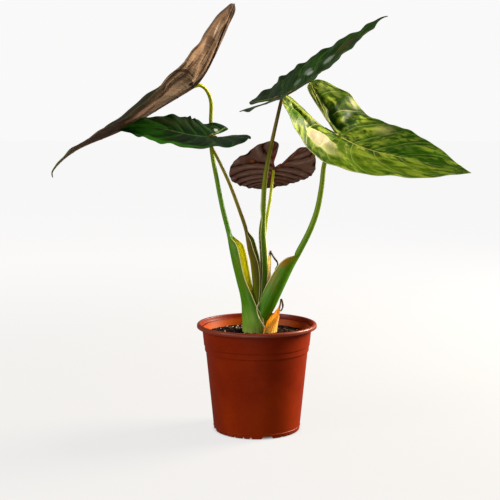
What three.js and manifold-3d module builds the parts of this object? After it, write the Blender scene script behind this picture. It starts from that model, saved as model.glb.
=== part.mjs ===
// A young alocasia with five arrow-shaped leaves, in a moulded nursery pot.
// Millimetres, +Z up. The origin is the centre of the pot's underside; +X is right and +Y is away
// from someone who looks at the front of the plant.
import * as THREE from 'three';
import { mergeVertices } from 'three/addons/utils/BufferGeometryUtils.js';
import Module from 'manifold-3d';

// ---------------------------------------------------------------- driving dimensions

const GAP = 0.4;                  // clearance between neighbours that touch in life
const BLADE_GAP = 0.7;            // and between a blade and the end of its petiole
const ROUND = 40;                 // sides of the pot and of the soil in it
const EASE = 1;                   // small slopes where two faces of the pot meet

const POT_HEIGHT = 152.5;
const POT_WALL = 2;
const FOOT_RADIUS = 61.2;
const BAND_Z = 113;               // the wall steps out here
const BAND_RADIUS = 72.4;         // wall radius just under the step
const BAND_STEP = 1.4;
const NECK_RADIUS = 77.4;         // wall radius just under the lip
const LIP_RADIUS = 85;
const LIP_HEIGHT = 7;
const LIP_INNER_RADIUS = 79;
const LIP_ROUNDING = 2;
const LEDGE_Z = 146.5;            // the inside steps in here, under the lip
const FLOOR_DISC_RADIUS = 45;     // the middle of the floor rests on the surface
const FOOT_WIDTH = 4;
const FOOT_BEVEL = 2.5;
const FLOOR_RAISE = 3;            // the ring between the disc and the foot is raised
const DRAIN_HOLES = 8;
const DRAIN_RADIUS = 4.5;
const DRAIN_SIDES = 12;
const WIDE_NOTCHES = 4;
const WIDE_NOTCH = 19;
const WIDE_NOTCH_HEIGHT = 2.7;
const WIDE_NOTCH_START = -76.3;   // degrees from +X, seen from above
const SMALL_NOTCH = 3;
const SMALL_NOTCH_HEIGHT = 2.4;
const SMALL_NOTCH_OFFSETS = [22, 32, 45, 58, 68];

const SOIL_TOP = 137;             // at the wall
const SOIL_MOUND = 4;             // rise towards the plant
const MOUND_RADIUS = 26;          // the level top of the rise
const MOUND_SLOPE_RADIUS = 46;    // half way down it
const RHIZOME_CENTRE = [2, 0];
const RHIZOME_RADIUS = 22;
const RHIZOME_TOP = 130;
const RHIZOME_BOTTOM = 84;
const RHIZOME_TAPER = 0.55;       // its lower end, as a share of its radius
const RHIZOME_SCARS = 4;          // rings left by old leaves
const SCAR_DEPTH = 1.2;
const STALK_FOOT = RHIZOME_TOP + GAP;

const BLADE_THICKNESS = 1;
const RIB_DEPTH = 1.5;            // how far the midrib stands out under the blade
const RIB_WIDTH = 4;
const RIB_STEPS = 64;             // steps in which the midrib's line is worked out
const RIB_ROWS = 11;              // rows of faces along the midrib
const VEIN_ROWS = 5;              // and along the main vein of each lobe
const RIB_CROWDING = 1.25;        // rows stand closer near the petiole
const ACROSS = [0, 0.1, 0.4, 0.7, 1];   // where each row is divided, from rib to margin
const SINUS_FOOT = 0.36;          // share of the outline that lies behind the junction

// Half of the flat outline. Along: 1 is the tip, 0 the petiole, -1 the ends of the lobes.
// Across: 1 is the half width.
const OUTER_MARGIN = [[-1, 0.42], [-0.93, 0.64], [-0.6, 0.88], [-0.15, 1], [0.14, 0.97],
  [0.36, 0.81], [0.6, 0.54], [0.8, 0.27], [0.93, 0.08], [1, 0]];
const INNER_MARGIN = [[-0.05, 0], [-0.12, 0.06], [-0.4, 0.13], [-0.7, 0.2], [-0.93, 0.28],
  [-1, 0.42]];
const BASAL_VEIN = [[0, 0], [-0.5, 0.22], [-1, 0.42]];

// Each blade is set out at five stations: lobe, junction, first third, second third, tip.
// Heading turns from +X towards +Y, slope rises from level, bank dips the left half.
// Fold is how far a half turns up at the midrib, curl how much more it turns by its margin.
const BLADES = {
  upper_left: {
    junction: [-84, 0, 482], length: 244, lobes: 126, halfWidth: 74,
    heading: [184, 192, 212, 214, 230], slope: [-64, -36, -25, -22, -58],
    bank: [8, 0, -12, -10, -25],
    foldRight: [40, 28, 28, 26, 26], foldLeft: [48, 30, 26, 16, 4],
    curlRight: [-14, -14, -12, -10, -6], curlLeft: [-8, 8, 4, 0, -8],
  },
  left: {
    junction: [-68, -30, 416], length: 130, lobes: 50, halfWidth: 54,
    heading: [220, 205, 180, 172, 176], slope: [-8, 2, 14, 2, -18],
    bank: [12, 21, 24, 28, 34],
    foldRight: [8, 9, 6, 4, 4], foldLeft: [6, 9, 2, -7, -14],
    curlRight: [3, -4, -3, -3, -1], curlLeft: [-5, -5, -2, 0, 2],
  },
  back: {
    junction: [25, 53, 368], length: 128, lobes: 53, halfWidth: 63,
    heading: [130, 115, 96, 96, 95], slope: [-46, -38, -18, -10, -5],
    bank: [-20, -13, -4, -4, -4],
    foldRight: [6, 5, 6, 7, 8], foldLeft: [-4, 0, -1, -3, -5],
    curlRight: [-6, 4, 3, 3, 2], curlLeft: [-12, -3, 0, 0, 2],
  },
  upper_right: {
    junction: [35, -24, 471], length: 177, lobes: 56, halfWidth: 62,
    heading: [-18, -10, -2, -4, -5], slope: [16, 26, 39, 41, 41],
    bank: [-14, -15, -17, -22, -24],
    foldRight: [8, 13, 15, 16, 12], foldLeft: [6, 8, 5, 2, -4],
    curlRight: [-6, -7, -5, -4, -2], curlLeft: [9, 6, 1, -3, -6],
  },
  right: {
    junction: [116, 4, 416], length: 195, lobes: 94, halfWidth: 79,
    heading: [-22, -27, -32, -26, -26], slope: [-46, -29, -12, -12, -10],
    bank: [-28, -28, -28, -32, -36],
    foldRight: [20, 17, 8, 0, -10], foldLeft: [14, -4, 3, 10, 14],
    curlRight: [-1, -11, -6, 0, 6], curlLeft: [-8, 1, 1, 0, -2],
  },
};

// Each stalk is one petiole with its sheath. The route runs up the middle of the round petiole.
// girth is [height, petiole radius]. sheath is [height, outer radius, half wrap, wing, open]: wing
// goes from 0, a plain round petiole, to 1, an open channel, and open is the compass direction that
// the channel opens to. Both angles are in degrees.
const STALKS = {
  upper_left: {
    route: [[-15, -1, 124], [-16, -2, 158], [-18, -2, 186], [-24, -1, 214], [-31, 0, 243],
      [-38, 4, 275], [-48, 10, 313], [-56, 16, 352], [-64, 23, 397], [-66, 26, 437],
      [-68, 20, 463], [-75, 10, 478], [-84, 0, 482]],
    girth: [[130, 5], [210, 4.4], [280, 3.6], [400, 2.9], [482, 2.5]],
    sheath: [[124, 17, 142, 1, 10], [158, 16, 138, 1, 10], [182, 13, 122, 1, 0],
      [216, 11.5, 120, 1, -22], [243, 12, 122, 1, -26], [260, 11.5, 120, 1, -26],
      [283, 8, 112, 0, -26]],
  },
  left: {
    route: [[-3.2, -2.2, 124], [-3.6, -3, 165], [-3, -7, 202], [-6, -12, 237], [-10, -15, 258],
      [-15, -18, 286], [-24, -22, 314], [-37, -25, 349], [-51, -28, 380], [-64, -30, 405],
      [-68, -30, 416]],
    girth: [[130, 2.8], [200, 3], [300, 2.6], [416, 2.1]],
    sheath: [[150, 5, 100, 0, 0], [178, 6.5, 105, 1, 0], [236, 8.5, 118, 1, -8],
      [270, 7, 112, 1, -20], [292, 4.5, 106, 0, -20]],
  },
  back: {
    route: [[0.5, 3.9, 124], [1, 5, 165], [4, 9, 210], [8, 16, 250], [14, 26, 297], [19, 34, 325],
      [22, 44, 348], [25, 53, 368]],
    girth: [[130, 2.8], [220, 2.6], [368, 2]],
    sheath: [[138, 3.2, 100, 0, 200], [190, 5, 110, 1, 200], [225, 4.5, 110, 0.8, 200],
      [250, 4, 110, 0, 200]],
  },
  upper_right: {
    route: [[3.4, -2.6, 124], [5, -3.5, 165], [9, -5, 205], [11, -8, 244], [8, -12, 286],
      [9, -14, 328], [11, -16, 356], [15, -18, 383], [21, -20, 411], [27, -22, 438],
      [32, -24, 460], [35, -24, 471]],
    girth: [[130, 2.8], [200, 4], [290, 4.1], [380, 3], [471, 2.4]],
    sheath: [[150, 5, 100, 0, 195], [185, 5.5, 110, 1, 195], [286, 6, 118, 0.9, 195],
      [322, 5, 110, 0, 195]],
  },
  right: {
    route: [[4.8, -1, 124], [9, -2, 152], [15.5, -3, 165], [22.5, -4, 179], [30, -5, 196],
      [39, -6, 216], [48, -6, 235], [60, -7, 257], [74, -7, 285], [84, -6, 313], [90, -5, 345],
      [94, -3, 378], [104, 0, 402], [116, 4, 416]],
    girth: [[130, 4], [200, 4.8], [285, 4.1], [380, 3.2], [416, 2.8]],
    sheath: [[124, 11, 128, 1, 172], [158, 11.5, 135, 1, 172], [190, 13.5, 145, 1, 172],
      [222, 12.5, 138, 1, 172], [240, 10.5, 128, 0.9, 172], [254, 8, 115, 0, 172]],
  },
};

// Old leaf bases that have dried to a skin. skin is [height, radius, half wrap in degrees].
const DRIED_TALL = {
  route: [[11.5, 5, 176], [12.5, 4, 195], [13, 2, 213], [15.5, 0, 235], [18.3, -2, 256]],
  skin: [[176, 5, 60], [213, 4.4, 62], [240, 3.4, 45], [256, 1.6, 25]],
  thickness: 0.9, open: 180,
};
const DRIED_THREAD = [[18.3, -2, 254], [21, -2.5, 251], [24, -3, 246], [28.5, -3, 240], [29, -3, 235],
  [25.5, -3, 229]];
const DRIED_THREAD_RADIUS = 0.7;
const DRIED_BASE = {
  route: [[27.8, 0, 124], [28.6, 0, 150], [30.5, -1, 162], [32.5, -2, 174], [34.5, -2, 187]],
  skin: [[124, 18, 112], [142, 18, 108], [158, 16, 62], [174, 13, 26], [187, 10, 5]],
  thickness: 1.1, open: 180,
};

// ---------------------------------------------------------------- small helpers

const radians = THREE.MathUtils.degToRad;
const vector = (point) => new THREE.Vector3(...point);

/** Value at x of a smooth curve through evenly spaced values. */
function spline(values, x) {
  const last = values.length - 1;
  const place = Math.min(Math.max(x, 0), last);
  const i = Math.min(Math.floor(place), last - 1);
  const f = place - i;
  const b = values[i];
  const c = values[i + 1];
  const a = i > 0 ? values[i - 1] : 2 * b - c;
  const d = i + 2 <= last ? values[i + 2] : 2 * c - b;
  return 0.5 * (2 * b + (c - a) * f + (2 * a - 5 * b + 4 * c - d) * f * f
    + (3 * b - a - 3 * c + d) * f * f * f);
}

/** The same for a list of points. */
function splinePoint(points, x) {
  return points[0].map((_, axis) => spline(points.map((point) => point[axis]), x));
}

/** Rows of [height, value, ...] read at one height, straight between the rows. */
function atHeight(rows, z, column = 1) {
  if (z <= rows[0][0]) return rows[0][column];
  for (let i = 1; i < rows.length; i += 1) {
    const [low, high] = [rows[i - 1], rows[i]];
    if (z <= high[0]) {
      return THREE.MathUtils.mapLinear(z, low[0], high[0], low[column], high[column]);
    }
  }
  return rows[rows.length - 1][column];
}

/** Collects faces of one closed surface; points within a thousandth become one vertex. */
class Skin {
  constructor() {
    this.points = [];
    this.faces = [];
    this.known = new Map();
  }

  vertex(point) {
    const key = point.map((value) => Math.round(value * 1e3)).join(' ');
    if (!this.known.has(key)) {
      this.known.set(key, this.points.length / 3);
      this.points.push(...point);
    }
    return this.known.get(key);
  }

  triangle(...corners) {
    if (new Set(corners).size === 3) this.faces.push(...corners);
  }

  quad(a, b, c, d) {
    this.triangle(a, b, c);
    this.triangle(a, c, d);
  }

  geometry() {
    const geometry = new THREE.BufferGeometry();
    geometry.setAttribute('position', new THREE.Float32BufferAttribute(this.points, 3));
    geometry.setIndex(this.faces);
    return geometry;
  }
}

const wasm = await Module();
wasm.setup();

function solidOf(geometry) {
  const bare = geometry.clone();
  bare.deleteAttribute('normal');
  bare.deleteAttribute('uv');
  const merged = mergeVertices(bare, 1e-3);
  return new wasm.Manifold(new wasm.Mesh({
    numProp: 3,
    vertProperties: new Float32Array(merged.attributes.position.array),
    triVerts: new Uint32Array(merged.index.array),
  }));
}

/** The largest body of a solid, as a geometry. */
function geometryOf(solid) {
  const bodies = solid.decompose();
  bodies.sort((a, b) => b.volume() - a.volume());
  const { vertProperties, triVerts } = bodies[0].getMesh();
  const skin = new Skin();
  const corner = (i) => skin.vertex([...vertProperties.slice(3 * i, 3 * i + 3)]);
  for (let i = 0; i < triVerts.length; i += 3) {
    skin.triangle(corner(triVerts[i]), corner(triVerts[i + 1]), corner(triVerts[i + 2]));
  }
  return skin.geometry();
}

/** Turns a profile of [radius, height] pairs about the vertical axis. */
function turned(profile, segments) {
  const geometry = new THREE.LatheGeometry(profile.map(([r, z]) => new THREE.Vector2(r, z)), segments);
  return geometry.rotateX(Math.PI / 2);
}

// ---------------------------------------------------------------- blades

/** A leaf blade: a flat outline laid over a bent and folded midrib. */
class Blade {
  constructor(leaf) {
    this.leaf = leaf;
    this.ahead = this.walk(leaf.length, 1);
    this.behind = this.walk(leaf.lobes, -1);
  }

  /** Five-station values: the lobe values hold over the outer half of the lobes. */
  station(along) {
    if (along < 0) return 1 - Math.min(1, -along / (0.5 * this.leaf.lobes));
    return 1 + 3 * along / this.leaf.length;
  }

  directions(along) {
    const { leaf } = this;
    const x = this.station(along);
    const heading = radians(spline(leaf.heading, x));
    const slope = radians(spline(leaf.slope, x));
    const bank = radians(spline(leaf.bank, x));
    const forward = new THREE.Vector3(Math.cos(slope) * Math.cos(heading),
      Math.cos(slope) * Math.sin(heading), Math.sin(slope));
    const level = new THREE.Vector3(Math.sin(heading), -Math.cos(heading), 0);
    const above = new THREE.Vector3().crossVectors(level, forward);
    const right = level.clone().multiplyScalar(Math.cos(bank)).addScaledVector(above, Math.sin(bank));
    const up = above.multiplyScalar(Math.cos(bank)).addScaledVector(level, -Math.sin(bank));
    return { forward, right, up };
  }

  /** The midrib's line, stepped out from the junction. */
  walk(length, sign) {
    const step = length / RIB_STEPS;
    const line = [vector(this.leaf.junction)];
    for (let i = 0; i < RIB_STEPS; i += 1) {
      const { forward } = this.directions(sign * (i + 0.5) * step);
      line.push(line[i].clone().addScaledVector(forward, sign * step));
    }
    return line;
  }

  centre(along) {
    const line = along < 0 ? this.behind : this.ahead;
    const length = along < 0 ? this.leaf.lobes : this.leaf.length;
    const place = Math.min(Math.abs(along) / length, 1) * (line.length - 1);
    const i = Math.min(Math.floor(place), line.length - 2);
    return line[i].clone().lerp(line[i + 1], place - i);
  }

  /** A point of the blade; lift moves it off the middle surface. */
  point(along, across, lift) {
    const { leaf } = this;
    const x = this.station(along);
    const { right, up } = this.directions(along);
    const side = across < 0 ? -1 : 1;
    const fold = radians(spline(side > 0 ? leaf.foldRight : leaf.foldLeft, x));
    const curl = radians(spline(side > 0 ? leaf.curlRight : leaf.curlLeft, x)) / leaf.halfWidth;
    const reach = Math.abs(across);
    const end = fold + curl * reach;
    const straight = Math.abs(curl) < 1e-6;
    const out = straight ? reach * Math.cos(fold) : (Math.sin(end) - Math.sin(fold)) / curl;
    const rise = straight ? reach * Math.sin(fold) : (Math.cos(fold) - Math.cos(end)) / curl;
    const tilt = end * Math.min(1, reach / RIB_WIDTH);
    return this.centre(along)
      .addScaledVector(right, side * (out - lift * Math.sin(tilt)))
      .addScaledVector(up, rise + lift * Math.cos(tilt))
      .toArray();
  }

  /** The blade as a closed skin; grow thickens it all over. */
  geometry(grow = 0) {
    const { leaf } = this;
    const skin = new Skin();
    const size = ([along, across]) => [along * (along < 0 ? leaf.lobes : leaf.length),
      across * leaf.halfWidth];
    const vein = (share) => size(splinePoint(BASAL_VEIN, share * (BASAL_VEIN.length - 1)));
    const margin = (curve, share) => size(splinePoint(curve, share * (curve.length - 1)));

    const outerRows = [];
    for (let i = 0; i <= VEIN_ROWS; i += 1) {
      const share = i / VEIN_ROWS;
      outerRows.push([vein(1 - share), margin(OUTER_MARGIN, SINUS_FOOT * share)]);
    }
    for (let i = 1; i <= RIB_ROWS; i += 1) {
      const share = i / RIB_ROWS;
      outerRows.push([[leaf.length * share ** RIB_CROWDING, 0],
        margin(OUTER_MARGIN, SINUS_FOOT + (1 - SINUS_FOOT) * share)]);
    }
    const innerRows = [];
    for (let i = 0; i <= VEIN_ROWS; i += 1) {
      innerRows.push([vein(i / VEIN_ROWS), margin(INNER_MARGIN, i / VEIN_ROWS)]);
    }

    const layer = (rows, side, top) => rows.map(([from, to]) => ACROSS.map((share) => {
      const along = THREE.MathUtils.lerp(from[0], to[0], share);
      const across = side * THREE.MathUtils.lerp(from[1], to[1], share);
      const rib = RIB_DEPTH * Math.max(0, 1 - share / ACROSS[1]);
      const lift = top ? BLADE_THICKNESS / 2 + grow : -BLADE_THICKNESS / 2 - rib - grow;
      return skin.vertex(this.point(along, across, lift));
    }));
    const face = (flip, a, b, c, d) => (flip ? skin.quad(d, c, b, a) : skin.quad(a, b, c, d));

    for (const side of [1, -1]) {
      for (const rows of [outerRows, innerRows]) {
        const top = layer(rows, side, true);
        const under = layer(rows, side, false);
        const flip = side < 0;
        const last = ACROSS.length - 1;
        for (let i = 0; i + 1 < rows.length; i += 1) {
          for (let j = 0; j < last; j += 1) {
            face(flip, top[i][j], top[i][j + 1], top[i + 1][j + 1], top[i + 1][j]);
            face(!flip, under[i][j], under[i][j + 1], under[i + 1][j + 1], under[i + 1][j]);
          }
          face(flip, top[i + 1][last], top[i][last], under[i][last], under[i + 1][last]);
        }
      }
    }
    return skin.geometry();
  }

  /** The room that the petiole leaves for the blade, also behind the notch between the lobes. */
  room(gap) {
    const back = this.directions(0).forward.multiplyScalar(-gap);
    const moved = this.geometry(gap).translate(...back.toArray());
    return solidOf(this.geometry(gap)).add(solidOf(moved));
  }
}

// ---------------------------------------------------------------- stalks and skins

const RING = 7;                   // points on each of a section's two sides
const ROUTE_NUDGE = 0.02;         // how far either side of a route's point its direction is read
const STALK_STEPS = 26;
const DRIED_STEPS = 9;
const HEEL_SHARE = 0.8;           // thickness of a sheath's keel, as a share of the petiole's radius
const WING_THICKNESS = 1.2;       // and at its margins
const SHARPEST_CORNER = 0.6;      // limits how far a sharp corner moves when a section is widened

/** Joins rings of equal length into a tube with flat ends. */
function loft(rings) {
  const skin = new Skin();
  const rows = rings.map((ring) => ring.map((point) => skin.vertex(point.toArray())));
  const count = rows[0].length;
  for (let i = 0; i + 1 < rows.length; i += 1) {
    for (let j = 0; j < count; j += 1) {
      const k = (j + 1) % count;
      skin.quad(rows[i][j], rows[i][k], rows[i + 1][k], rows[i + 1][j]);
    }
  }
  const [foot, head] = [rows[0], rows[rows.length - 1]];
  for (let j = 0; j + 1 < count / 2; j += 1) {
    const [k, m, n] = [j + 1, count - 2 - j, count - 1 - j];
    skin.quad(foot[n], foot[m], foot[k], foot[j]);
    skin.quad(head[j], head[k], head[m], head[n]);
  }
  return skin.geometry();
}

/** Frames along a route: a point, the way along, and the way across nearest to a compass direction. */
function framesAlong(route, steps, openAt) {
  const frames = [];
  for (let i = 0; i <= steps; i += 1) {
    const x = i / steps * (route.length - 1);
    const centre = vector(splinePoint(route, x));
    const before = vector(splinePoint(route, x - ROUTE_NUDGE));
    const after = vector(splinePoint(route, x + ROUTE_NUDGE));
    const open = radians(openAt(centre.z));
    const compass = new THREE.Vector3(Math.cos(open), Math.sin(open), 0);
    const along = after.sub(before).normalize();
    const inward = compass.clone().addScaledVector(along, -compass.dot(along)).normalize();
    const sideways = new THREE.Vector3().crossVectors(along, inward);
    frames.push({ centre, along, inward, sideways });
  }
  return frames;
}

/** A point of a section, at an angle from the keel about a centre that lies inward of the route. */
function sectionPoint(frame, offset, radius, angle) {
  return frame.centre.clone()
    .addScaledVector(frame.inward, offset - radius * Math.cos(angle))
    .addScaledVector(frame.sideways, -radius * Math.sin(angle));
}

/** Point i of an open channel's section: out along the keel's side, and back along the inside. */
function channelPoint(frame, i, { offset, radius, wrap, thicknessAt }) {
  const onOuter = i < RING;
  const side = 2 * (onOuter ? i : 2 * RING - 1 - i) / (RING - 1) - 1;
  return sectionPoint(frame, offset, onOuter ? radius : radius - thicknessAt(side), side * wrap);
}

/** A section's ring moved outwards by a distance, in the section's own plane. */
function widened(ring, along, distance) {
  const count = ring.length;
  const normals = ring.map((point, i) => {
    const edge = ring[(i + 1) % count].clone().sub(point);
    return edge.cross(along).normalize();
  });
  return ring.map((point, i) => {
    const [before, after] = [normals[(i + count - 1) % count], normals[i]];
    const spread = Math.max(1 + before.dot(after), SHARPEST_CORNER);
    return point.clone().addScaledVector(before.clone().add(after), distance / spread);
  });
}

/** A petiole whose lower part opens into a sheath. */
function stalkGeometry(stalk, grow = 0) {
  const openAt = (z) => atHeight(stalk.sheath, z, 4);
  const rings = framesAlong(stalk.route, STALK_STEPS, openAt).map((frame) => {
    const { z } = frame.centre;
    const petiole = atHeight(stalk.girth, z);
    const radius = atHeight(stalk.sheath, z, 1);
    const wrap = radians(atHeight(stalk.sheath, z, 2));
    const wing = atHeight(stalk.sheath, z, 3);
    const heel = Math.max(HEEL_SHARE * petiole - WING_THICKNESS, 0);
    const thicknessAt = (side) => WING_THICKNESS + heel * Math.cos(side * Math.PI / 2) ** 2;
    const channel = { offset: radius - petiole, radius, wrap, thicknessAt };
    const ring = Array.from({ length: 2 * RING }, (_, i) => {
      const round = sectionPoint(frame, 0, petiole, Math.PI * ((i + 0.5) / RING - 0.5));
      return round.lerp(channelPoint(frame, i, channel), wing);
    });
    return widened(ring, frame.along, grow);
  });
  return loft(rings);
}

/** A thin curved skin, such as a dried leaf base. */
function driedGeometry({ route, skin, thickness, open }, grow = 0) {
  const rings = framesAlong(route, DRIED_STEPS, () => open).map((frame) => {
    const radius = atHeight(skin, frame.centre.z, 1);
    const wrap = radians(atHeight(skin, frame.centre.z, 2));
    const channel = { offset: radius, radius, wrap, thicknessAt: () => thickness };
    const ring = Array.from({ length: 2 * RING }, (_, i) => channelPoint(frame, i, channel));
    return widened(ring, frame.along, grow);
  });
  return loft(rings);
}

/** A round thread through the points of a route. */
function threadGeometry(route, radius) {
  const curve = new THREE.CatmullRomCurve3(route.map(vector));
  const section = new THREE.Shape();
  section.absarc(0, 0, radius, 0, 2 * Math.PI);
  return new THREE.ExtrudeGeometry(section, { steps: 10, curveSegments: 3, extrudePath: curve });
}

// ---------------------------------------------------------------- pot, soil and rhizome

const FLOOR_TOP = POT_WALL;
const RING_TOP = FLOOR_RAISE + POT_WALL;
const inner = (radius) => radius - POT_WALL;
// The inside of the pot as [radius, height], from the floor up to the band.
const POT_INSIDE = [
  [FLOOR_DISC_RADIUS - 2 * EASE, FLOOR_TOP], [FLOOR_DISC_RADIUS - EASE, RING_TOP],
  [inner(FOOT_RADIUS), RING_TOP + EASE], [inner(BAND_RADIUS), BAND_Z - EASE],
  [inner(BAND_RADIUS + BAND_STEP), BAND_Z + EASE],
];

function potGeometry() {
  const footInner = FOOT_RADIUS - FOOT_WIDTH;
  const lipUnder = POT_HEIGHT - LIP_HEIGHT;
  const shell = turned([
    [0, 0], [FLOOR_DISC_RADIUS, 0], [FLOOR_DISC_RADIUS + EASE, FLOOR_RAISE],
    [footInner - EASE, FLOOR_RAISE], [footInner, 0],
    [FOOT_RADIUS - FOOT_BEVEL / 2, 0], [FOOT_RADIUS, FOOT_BEVEL],
    [BAND_RADIUS, BAND_Z], [BAND_RADIUS + BAND_STEP, BAND_Z + EASE],
    [NECK_RADIUS, lipUnder - EASE], [LIP_RADIUS - LIP_ROUNDING, lipUnder],
    [LIP_RADIUS, lipUnder + LIP_ROUNDING], [LIP_RADIUS, POT_HEIGHT - LIP_ROUNDING],
    [LIP_RADIUS - LIP_ROUNDING, POT_HEIGHT], [LIP_INNER_RADIUS + EASE, POT_HEIGHT],
    [LIP_INNER_RADIUS, POT_HEIGHT - EASE], [LIP_INNER_RADIUS - EASE, LEDGE_Z + EASE],
    [inner(NECK_RADIUS), LEDGE_Z], ...POT_INSIDE.toReversed(), [0, FLOOR_TOP],
  ], ROUND);
  let pot = solidOf(shell);

  const cut = (geometry, degrees, radius) => {
    geometry.translate(radius, 0, 0).rotateZ(radians(degrees));
    pot = pot.subtract(solidOf(geometry));
  };
  const notch = (width, height, degrees) => {
    const box = new THREE.BoxGeometry(2 * FOOT_WIDTH, width, 2 * height);
    cut(box, degrees, FOOT_RADIUS - FOOT_WIDTH / 2);
  };
  for (let i = 0; i < WIDE_NOTCHES; i += 1) {
    const start = WIDE_NOTCH_START + i * 360 / WIDE_NOTCHES;
    notch(WIDE_NOTCH, WIDE_NOTCH_HEIGHT, start);
    for (const offset of SMALL_NOTCH_OFFSETS) notch(SMALL_NOTCH, SMALL_NOTCH_HEIGHT, start + offset);
  }
  const ringMiddle = (FLOOR_DISC_RADIUS + footInner) / 2;
  for (let i = 0; i < DRAIN_HOLES; i += 1) {
    const hole = new THREE.CylinderGeometry(DRAIN_RADIUS, DRAIN_RADIUS, 3 * RING_TOP, DRAIN_SIDES);
    cut(hole.rotateX(Math.PI / 2), i * 360 / DRAIN_HOLES, ringMiddle);
  }
  return geometryOf(pot);
}

function rhizomeGeometry(grow = 0) {
  const profile = [[0, RHIZOME_BOTTOM - grow]];
  for (let i = 0; i <= 2 * RHIZOME_SCARS; i += 1) {
    const share = i / (2 * RHIZOME_SCARS);
    const bulge = THREE.MathUtils.lerp(RHIZOME_TAPER, 1, Math.sin(share * Math.PI / 2));
    const radius = RHIZOME_RADIUS * bulge + (i % 2) * SCAR_DEPTH;
    const z = THREE.MathUtils.lerp(RHIZOME_BOTTOM - grow, RHIZOME_TOP + grow, share);
    profile.push([radius + grow, z]);
  }
  profile.push([0, RHIZOME_TOP + grow]);
  return turned(profile, ROUND / 2).translate(...RHIZOME_CENTRE, 0);
}

function soilGeometry(buried) {
  const share = (SOIL_TOP - BAND_Z - EASE) / (LEDGE_Z - BAND_Z - EASE);
  const wallAtTop = THREE.MathUtils.lerp(inner(BAND_RADIUS + BAND_STEP), inner(NECK_RADIUS), share);
  const profile = [
    [0, FLOOR_TOP + GAP],
    ...POT_INSIDE.map(([radius, z]) => [radius - GAP, z + GAP]),
    [wallAtTop - GAP, SOIL_TOP - EASE], [wallAtTop - 2 * EASE, SOIL_TOP],
    [MOUND_SLOPE_RADIUS, SOIL_TOP + SOIL_MOUND / 2], [MOUND_RADIUS, SOIL_TOP + SOIL_MOUND],
    [0, SOIL_TOP + SOIL_MOUND],
  ];
  let soil = solidOf(turned(profile, ROUND));
  for (const solid of buried) soil = soil.subtract(solid);
  return geometryOf(soil);
}

// ---------------------------------------------------------------- finishes

const finish = (color, roughness) => new THREE.MeshStandardMaterial({ color, roughness, metalness: 0 });
const POT_PLASTIC = finish(0x8a3314, 0.45);
const SOIL = finish(0x2b1d14, 0.95);
const RHIZOME_BARK = finish(0x5b4630, 0.9);
const GREEN_STALK = finish(0x5f7d1e, 0.4);
const OLIVE_STALK = finish(0x6a5a1c, 0.45);
const GREEN_BLADE = finish(0x2f5a20, 0.35);
const BRONZE_BLADE = finish(0x6b5448, 0.5);
const DRIED_CREAM = finish(0xd8b878, 0.7);
const DRIED_YELLOW = finish(0xd99a36, 0.6);

// ---------------------------------------------------------------- assembly

const plant = new THREE.Group();

function place(name, geometry, material) {
  const mesh = new THREE.Mesh(geometry, material);
  mesh.name = name;
  plant.add(mesh);
}

const BLADE_FINISH = {
  upper_left: BRONZE_BLADE, left: GREEN_BLADE, back: BRONZE_BLADE, upper_right: GREEN_BLADE,
  right: GREEN_BLADE,
};
const STALK_FINISH = {
  upper_left: GREEN_STALK, left: OLIVE_STALK, back: GREEN_STALK, upper_right: OLIVE_STALK,
  right: GREEN_STALK,
};
// From the inside of the crown outwards: each sheath is cut back where it meets those inside it.
const WRAPPING = ['back', 'upper_right', 'left', 'right', 'upper_left'];

/** Everything below a height, as a block wider than the pot. */
function below(height) {
  const side = 3 * LIP_RADIUS;
  return solidOf(new THREE.BoxGeometry(side, side, side).translate(0, 0, height - side / 2));
}

const underFeet = below(STALK_FOOT);
const grown = [];

for (const name of WRAPPING) {
  const blade = new Blade(BLADES[name]);
  place(`blade_${name}`, blade.geometry(), BLADE_FINISH[name]);
  let stalk = solidOf(stalkGeometry(STALKS[name])).subtract(underFeet).subtract(blade.room(BLADE_GAP));
  for (const neighbour of grown) stalk = stalk.subtract(neighbour);
  place(`petiole_${name}`, geometryOf(stalk), STALK_FINISH[name]);
  grown.push(solidOf(stalkGeometry(STALKS[name], GAP)));
}

let driedTall = solidOf(driedGeometry(DRIED_TALL))
  .add(solidOf(threadGeometry(DRIED_THREAD, DRIED_THREAD_RADIUS)));
let driedBase = solidOf(driedGeometry(DRIED_BASE)).subtract(underFeet);
for (const stalk of grown) {
  driedTall = driedTall.subtract(stalk);
  driedBase = driedBase.subtract(stalk);
}
place('dried_sheath_tall', geometryOf(driedTall), DRIED_CREAM);
place('dried_sheath_base', geometryOf(driedBase), DRIED_YELLOW);
place('rhizome', rhizomeGeometry(), RHIZOME_BARK);

// The soil lies against the rhizome and against everything that rises from it.
const risers = [...grown, solidOf(driedGeometry(DRIED_BASE, GAP))]
  .map((riser) => riser.subtract(below(RHIZOME_TOP)));
place('soil', soilGeometry([solidOf(rhizomeGeometry(GAP)), ...risers]), SOIL);
place('pot', potGeometry(), POT_PLASTIC);

export default plant;
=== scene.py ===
"""A young alocasia with five arrow-shaped leaves in a moulded nursery pot, finished for close viewing."""

import logging
import math
from contextlib import contextmanager
from dataclasses import dataclass
from enum import Enum
from typing import Callable, Iterator, Sequence

import bpy
import numpy as np
from mathutils import Matrix, Vector, noise


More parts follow.
